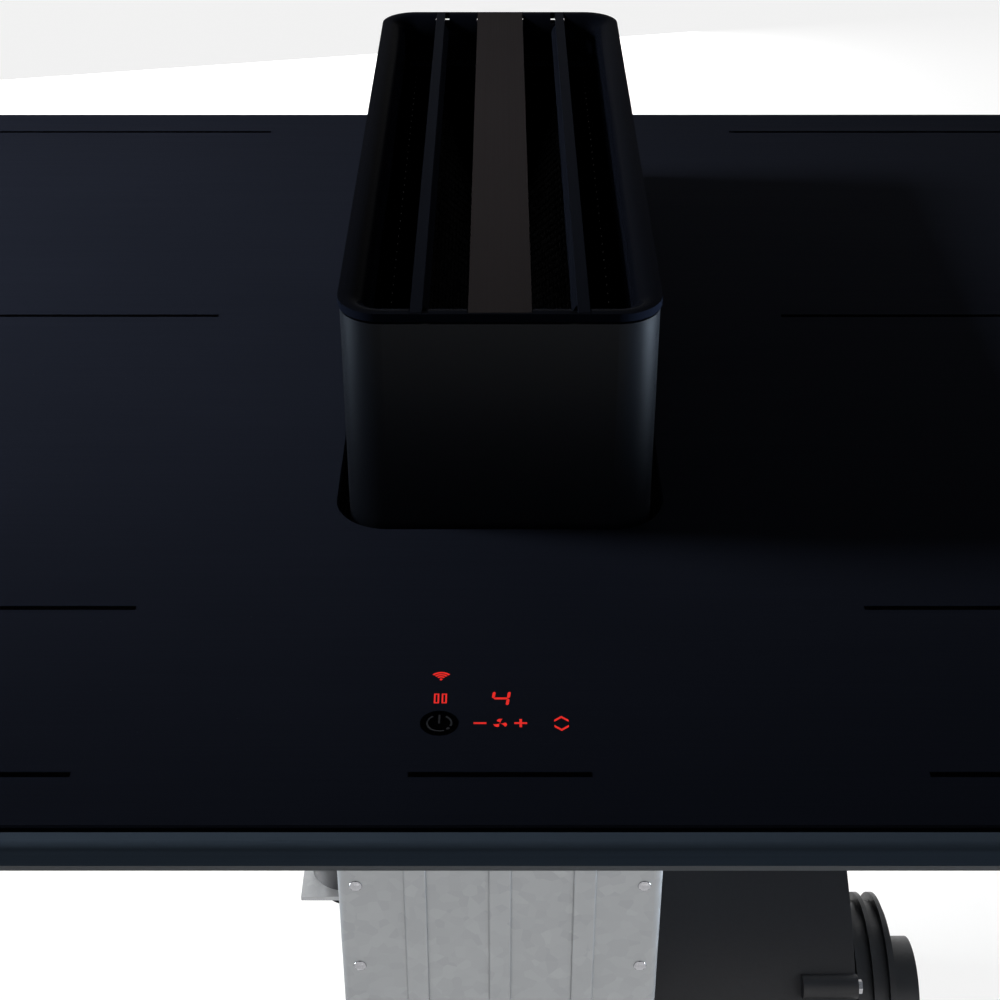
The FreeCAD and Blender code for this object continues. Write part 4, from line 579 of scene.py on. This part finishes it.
def fan_blade(x, y, radius, turn):
    """A petal that leans round the middle: its straighter edge out, its round edge back."""
    lean, bulge, turned, hub = 18, 62, 8, 0.12
    steps = 10
    points = []
    for index in range(steps + 1):
        share = index / steps
        points.append((radius * share, turn - lean * share))
    for index in range(steps + 1):
        share = 1 - index / steps
        swing = bulge * math.sin(math.pi * share) * share
        points.append((max(radius * share, hub), turn + swing + turned))
    return [(x + reach * math.cos(math.radians(angle)), y + reach * math.sin(math.radians(angle)))
            for reach, angle in points]


def chevron(x, y, width, rise, stroke):
    """A bent stroke that points to the back, or to the front where the rise is negative."""
    half = width / 2
    low = [(x - half, y - rise / 2), (x, y + rise / 2), (x + half, y - rise / 2)]
    shift = stroke if rise > 0 else -stroke
    high = [(px, py - shift) for px, py in reversed(low)]
    points = low + high
    return points if rise < 0 else list(reversed(points))


def power_sign():
    """A broken ring with an upright stroke in its gap and a dot on its lower right."""
    radius, stroke, half = 3.4, 0.5, 0.28
    dot_radius, dot_turn = 0.5, math.radians(-43)
    return [arc_band(KEY_X, KEY_ROW, radius, stroke, start=122, end=296, count=24),
            arc_band(KEY_X, KEY_ROW, radius, stroke, start=338, end=418, count=12),
            bar(KEY_X - half, KEY_X + half, KEY_ROW - 0.2, KEY_ROW + 3.6),
            disc(KEY_X + radius * math.cos(dot_turn), KEY_ROW + radius * math.sin(dot_turn),
                 dot_radius, count=16)]


print_piece("printed_lines", line_outlines(), "print_black")
print_piece("power_disc", [disc(KEY_X, KEY_ROW, radius=5.4, count=64)], "print_black")
print_piece("power_sign", power_sign(), "sign_grey", SIGN_LOW, SIGN_HIGH)
print_piece("lit_signs", red_signs(), "sign_red")

# ------------------------------------------------------------------ repeated pieces

INTEGER = "NodeSocketInt"
MATERIAL = "NodeSocketMaterial"


def shape_tree(name, inputs):
    """An empty geometry tree with named inputs; returns its graph, inputs and result."""
    tree = bpy.data.node_groups.new(name, "GeometryNodeTree")
    for label, kind, value in inputs + [("Finish", MATERIAL, None)]:
        socket = tree.interface.new_socket(label, in_out="INPUT", socket_type=kind)
        if value is not None:
            socket.default_value = value
    tree.interface.new_socket("Geometry", in_out="OUTPUT", socket_type="NodeSocketGeometry")
    graph = Graph(tree)
    return graph, graph.add("NodeGroupInput").outputs, graph.add("NodeGroupOutput").inputs[0]


def finish_tree(graph, given, result, shape):
    """Ends a tree: moves and turns the shape, makes it real and gives it its finish."""
    placed = graph.add("GeometryNodeTransform")
    graph.join(shape, placed.inputs["Geometry"])
    graph.join(given["Place"], placed.inputs["Translation"])
    graph.join(given["Turn"], placed.inputs["Rotation"])
    real = graph.add("GeometryNodeRealizeInstances")
    graph.join(placed.outputs[0], real.inputs[0])
    finish = graph.add("GeometryNodeSetMaterial")
    graph.join(real.outputs[0], finish.inputs["Geometry"])
    graph.join(given["Finish"], finish.inputs["Material"])
    graph.join(finish.outputs[0], result)
    return graph.tree


def wire_of(graph, path, radius, sides):
    """A round wire along a curve."""
    section = graph.add("GeometryNodeCurvePrimitiveCircle")
    section.inputs["Resolution"].default_value = sides
    graph.join(radius, section.inputs["Radius"])
    wire = graph.add("GeometryNodeCurveToMesh")
    graph.join(path, wire.inputs["Curve"])
    graph.join(section.outputs["Curve"], wire.inputs["Profile Curve"])
    wire.inputs["Fill Caps"].default_value = True
    return wire.outputs[0]


def make_winding_tree():
    """A wire wound on a helix or a flat spiral."""
    graph, given, result = shape_tree(
        "wound_wire",
        [("Turns", FLOAT, 10.0), ("Start Radius", FLOAT, 0.01), ("End Radius", FLOAT, 0.01),
         ("Height", FLOAT, 0.1), ("Wire Radius", FLOAT, 0.001), ("Steps", INTEGER, 32),
         ("Place", VECTOR, (0.0, 0.0, 0.0)), ("Turn", VECTOR, (0.0, 0.0, 0.0))])
    spiral = graph.add("GeometryNodeCurveSpiral")
    for label, socket in (("Turns", "Rotations"), ("Start Radius", "Start Radius"),
                          ("End Radius", "End Radius"), ("Height", "Height"),
                          ("Steps", "Resolution")):
        graph.join(given[label], spiral.inputs[socket])
    wire = wire_of(graph, spiral.outputs["Curve"], given["Wire Radius"], 6)
    return finish_tree(graph, given, result, wire)


def make_lattice_tree():
    """Diamonds of wire side by side over a flat rectangle, as in expanded metal."""
    graph, given, result = shape_tree(
        "expanded_metal",
        [("Size Across", FLOAT, 0.1), ("Size Along", FLOAT, 0.1), ("Across", INTEGER, 10),
         ("Along", INTEGER, 10), ("Diamond Across", FLOAT, 0.004),
         ("Diamond Along", FLOAT, 0.006), ("Wire Radius", FLOAT, 0.0003),
         ("Place", VECTOR, (0.0, 0.0, 0.0)), ("Turn", VECTOR, (0.0, 0.0, 0.0))])
    grid = graph.add("GeometryNodeMeshGrid")
    for label, socket in (("Size Across", "Size X"), ("Size Along", "Size Y"),
                          ("Across", "Vertices X"), ("Along", "Vertices Y")):
        graph.join(given[label], grid.inputs[socket])
    square = graph.add("GeometryNodeCurvePrimitiveCircle")
    square.inputs["Resolution"].default_value = 4
    square.inputs["Radius"].default_value = 0.5
    stretch = graph.add("ShaderNodeCombineXYZ")
    graph.join(given["Diamond Across"], stretch.inputs["X"])
    graph.join(given["Diamond Along"], stretch.inputs["Y"])
    stretch.inputs["Z"].default_value = 1.0
    diamond = graph.add("GeometryNodeTransform")
    graph.join(square.outputs["Curve"], diamond.inputs["Geometry"])
    graph.join(stretch.outputs[0], diamond.inputs["Scale"])
    wire = wire_of(graph, diamond.outputs[0], given["Wire Radius"], 3)
    spread = graph.add("GeometryNodeInstanceOnPoints")
    graph.join(grid.outputs["Mesh"], spread.inputs["Points"])
    graph.join(wire, spread.inputs["Instance"])
    return finish_tree(graph, given, result, spread.outputs[0])


def make_rivet_tree():
    """A row of flat dome heads."""
    graph, given, result = shape_tree(
        "rivet_row",
        [("Count", INTEGER, 10), ("Step", VECTOR, (0.0, 0.0, 0.04)), ("Radius", FLOAT, 0.0022),
         ("Head", VECTOR, (1.0, 0.4, 1.0)), ("Place", VECTOR, (0.0, 0.0, 0.0)),
         ("Turn", VECTOR, (0.0, 0.0, 0.0))])
    row = graph.add("GeometryNodeMeshLine", mode="OFFSET")
    graph.join(given["Count"], row.inputs["Count"])
    graph.join(given["Step"], row.inputs["Offset"])
    head = graph.add("GeometryNodeMeshUVSphere")
    head.inputs["Segments"].default_value = 14
    head.inputs["Rings"].default_value = 8
    graph.join(given["Radius"], head.inputs["Radius"])
    spread = graph.add("GeometryNodeInstanceOnPoints")
    graph.join(row.outputs["Mesh"], spread.inputs["Points"])
    graph.join(head.outputs["Mesh"], spread.inputs["Instance"])
    graph.join(given["Head"], spread.inputs["Scale"])
    return finish_tree(graph, given, result, spread.outputs[0])


def grow(tree, finish, **sizes):
    """The plain mesh that a tree makes with the given sizes."""
    seed = bpy.data.objects.new("seed", bpy.data.meshes.new("seed"))
    bpy.context.scene.collection.objects.link(seed)
    modifier = seed.modifiers.new("shape", "NODES")
    modifier.node_group = tree
    wanted = {name.replace("_", " "): value for name, value in sizes.items()}
    wanted["Finish"] = finishes[finish]
    for item in tree.interface.items_tree:
        if item.in_out == "INPUT" and item.name in wanted:
            modifier[item.identifier] = wanted[item.name]
    seed.update_tag()
    shown = seed.evaluated_get(bpy.context.evaluated_depsgraph_get())
    mesh = bpy.data.meshes.new_from_object(shown)
    seed.modifiers.remove(modifier)
    bpy.data.objects.remove(seed)
    return mesh


def add_grown(name, meshes, body, finish):
    """One finished piece from several grown meshes."""
    shape = bmesh.new()
    for mesh in meshes:
        shape.from_mesh(mesh)
    add_piece(name, mesh_from(shape, name), body, finish)


def make_filter_mesh(lattice):
    """Expanded metal over both faces of the two filter panels, which lean in a V."""
    low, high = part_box("filter_panels")
    thickness = 7.0 * MM
    proud = 0.25 * MM
    across, along = 4.2 * MM, 6.6 * MM
    foot = 1.5 * MM
    margin = 4.0 * MM
    lean = (high.x - thickness) - foot
    height = high.z - low.z
    reach = math.hypot(lean, height) - margin
    length = high.y - low.y - 2 * margin
    turn = math.atan2(height, lean)
    for side, name in ((-1, "filter_mesh_left"), (1, "filter_mesh_right")):
        faces = []
        for offset, way in ((foot, -1), (foot + thickness, 1)):
            middle = side * (offset + lean / 2 + way * proud)
            faces.append(grow(
                lattice, "mesh_wire", Size_Across=reach, Size_Along=length,
                Across=round(reach / across) + 1, Along=round(length / along) + 1,
                Diamond_Across=across, Diamond_Along=along, Wire_Radius=0.32 * MM,
                Place=(middle, (low.y + high.y) / 2, (low.z + high.z) / 2),
                Turn=(0.0, -side * turn, 0.0)))
        add_grown(name, faces, "filter_cassette", "mesh_wire")


def make_screw_thread(winding):
    """The crests of the lift screw's four-start thread, between its two brackets."""
    low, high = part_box("lead_screw")
    brackets_low, brackets_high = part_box("rod_brackets")
    foot = brackets_low.z + 40.0 * MM
    length = brackets_high.z - 30.0 * MM - foot
    lead = 10.0 * MM
    sunk = 0.15 * MM
    radius = (high.x - low.x) / 2 - sunk
    starts = []
    for quarter in range(4):
        starts.append(grow(
            winding, "ground_steel", Turns=length / lead, Start_Radius=radius, End_Radius=radius,
            Height=length, Wire_Radius=0.45 * MM, Steps=20,
            Place=((low.x + high.x) / 2, (low.y + high.y) / 2, foot),
            Turn=(0.0, 0.0, math.radians(90 * quarter))))
    add_grown("screw_thread", starts, "screw", "ground_steel")


def make_coil_turns(winding):
    """Flat turns of stranded wire on the three bands of each coil."""
    eye = 22.0 * MM
    groove = 2.0 * MM
    bands = 3
    wire = 0.5 * MM
    spacing = 2.6 * MM
    sunk = 0.35 * MM
    for place in ("front_left", "rear_left", "front_right", "rear_right"):
        low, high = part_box("coil_" + place)
        middle = (low + high) / 2
        width = ((high.x - low.x) / 2 - eye - groove * (bands - 1)) / bands
        turns = []
        for band in range(bands):
            start = eye + band * (width + groove) + wire
            turns.append(grow(
                winding, "copper_wire", Turns=float(round(width / spacing)), Start_Radius=start,
                End_Radius=start + width - wire * 2, Height=0.0, Wire_Radius=wire, Steps=48,
                Place=(middle.x, middle.y, high.z - sunk)))
        add_grown("coil_turns_" + place, turns, "hob", "copper_wire")


def make_shaft_rivets(rivets):
    """Rivet rows down both edges of the shaft's front and rear sheets."""
    low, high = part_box("shaft_housing")
    inset = 6.5 * MM
    swage = 1.5 * MM
    lowest = low.z + 45.0 * MM
    rows = []
    for x in (low.x + inset, high.x - inset):
        for y in (low.y + swage, high.y - swage):
            rows.append(grow(rivets, "ground_steel", Count=9, Step=(0.0, 0.0, 40.0 * MM),
                             Radius=2.4 * MM, Head=(1.0, 0.4, 1.0), Place=(x, y, lowest)))
    add_grown("shaft_rivets", rows, "hob", "ground_steel")


WINDING = make_winding_tree()
make_filter_mesh(make_lattice_tree())
make_screw_thread(WINDING)
make_coil_turns(WINDING)
make_shaft_rivets(make_rivet_tree())

# ------------------------------------------------------------------ camera, lights, backdrop


def make_camera():
    """The photograph's viewpoint, worked out from its vanishing points."""
    data = bpy.data.cameras.new("camera")
    data.sensor_width = 36.0
    data.lens = 65.67
    data.clip_start = 0.01
    camera = bpy.data.objects.new("camera", data)
    camera.location = (0.0, -604.5 * MM, 336.7 * MM)
    camera.rotation_euler = (math.radians(90 - 32.79), 0.0, 0.0)
    bpy.context.scene.collection.objects.link(camera)
    bpy.context.scene.camera = camera


def area_light(name, spot, target, size, power, shade=(1.0, 1.0, 1.0), fan=180.0):
    """A rectangular lamp aimed at a target; fan is how widely its light spreads, in degrees."""
    data = bpy.data.lights.new(name, "AREA")
    data.shape = "RECTANGLE"
    data.size, data.size_y = size
    data.energy = power
    data.color = shade
    data.spread = math.radians(fan)
    light = bpy.data.objects.new(name, data)
    light.location = spot
    way = Vector(target) - Vector(spot)
    light.rotation_euler = way.to_track_quat("-Z", "Y").to_euler()
    bpy.context.scene.collection.objects.link(light)


def make_lights():
    """A key from the left, faint fills, and low lamps for the corners, sides and underside."""
    area_light("key", (-1.55, 0.16, 0.80), (-0.45, 0.1, 0.0), (0.35, 0.35), power=3.1, fan=34.0)
    area_light("top", (0.1, 0.3, 2.3), (0.0, 0.0, 0.0), (1.8, 1.8), power=0.3)
    cool = (0.68, 0.83, 1.0)
    area_light("strip_left", (-1.5, 0.0, -0.06), (-0.05, -0.1, 0.09), (0.5, 0.36), power=1.1,
               shade=cool, fan=16.0)
    area_light("strip_right", (1.5, -0.1, -0.1), (0.05, -0.1, 0.09), (0.5, 0.32), power=3.0,
               shade=cool, fan=16.0)
    under_hob = (0.0, 0.0, -0.2)
    area_light("low_front", (0.3, -1.9, -0.35), under_hob, (1.4, 0.5), power=1.8)
    area_light("low_back", (-0.4, 1.9, -0.3), under_hob, (1.4, 0.5), power=25.0)


def seen_directly(graph):
    """1 for rays of the camera, of gloss and through glass, otherwise 0."""
    rays = graph.add("ShaderNodeLightPath").outputs
    seen = graph.maths("MAXIMUM", rays["Is Camera Ray"], rays["Is Glossy Ray"])
    return graph.maths("MAXIMUM", seen, rays["Is Transmission Ray"])


def make_world():
    """White where the camera, gloss or glass looks at it, a faint glow otherwise."""
    world = bpy.data.worlds.new("studio")
    world.use_nodes = True
    world.node_tree.nodes.clear()
    graph = Graph(world.node_tree)
    background = graph.add("ShaderNodeBackground")
    background.inputs["Color"].default_value = (1.0, 1.0, 1.0, 1.0)
    graph.join(graph.spread(seen_directly(graph), 0.0, 1.0, 0.02, 1.0),
               background.inputs["Strength"])
    output = graph.add("ShaderNodeOutputWorld")
    graph.join(background.outputs["Background"], output.inputs["Surface"])
    bpy.context.scene.world = world


def make_floor():
    """A pale floor, low enough for the drip tray's travel; it shows only from above."""
    half = 6.0
    level = cad_low.z - 70.0 * MM
    shape = bmesh.new()
    corners = [(-half, -half), (half, -half), (half, half), (-half, half)]
    shape.faces.new([shape.verts.new((x, y, level)) for x, y in corners])
    floor = bpy.data.objects.new("floor", mesh_from(shape, "floor"))
    made, graph, surface = new_material("pale_floor", specular=0.1)
    drifted = use_group(graph, DRIFT, Shade=(0.26, 0.26, 0.26, 1.0),
                        Other_Shade=(0.25, 0.25, 0.25, 1.0), Scale=2.0)
    graph.join(drifted["Colour"], surface["Base Color"])
    surface["Roughness"].default_value = 0.8
    surface["Emission Color"].default_value = (1.0, 1.0, 1.0, 1.0)
    graph.join(graph.spread(seen_directly(graph), 0.0, 1.0, 0.0, 0.86),
               surface["Emission Strength"])
    below = graph.add("ShaderNodeNewGeometry").outputs["Backfacing"]
    clear = graph.add("ShaderNodeBsdfTransparent")
    either = graph.add("ShaderNodeMixShader")
    shown = made.node_tree.get_output_node("ALL").inputs["Surface"]
    graph.join(below, either.inputs["Fac"])
    graph.join(shown.links[0].from_socket, either.inputs[1])
    graph.join(clear.outputs["BSDF"], either.inputs[2])
    graph.join(either.outputs["Shader"], shown)
    floor.data.materials.append(made)
    bpy.context.scene.collection.objects.link(floor)


make_camera()
make_lights()
make_world()
make_floor()
bpy.context.scene.view_settings.view_transform = "Standard"
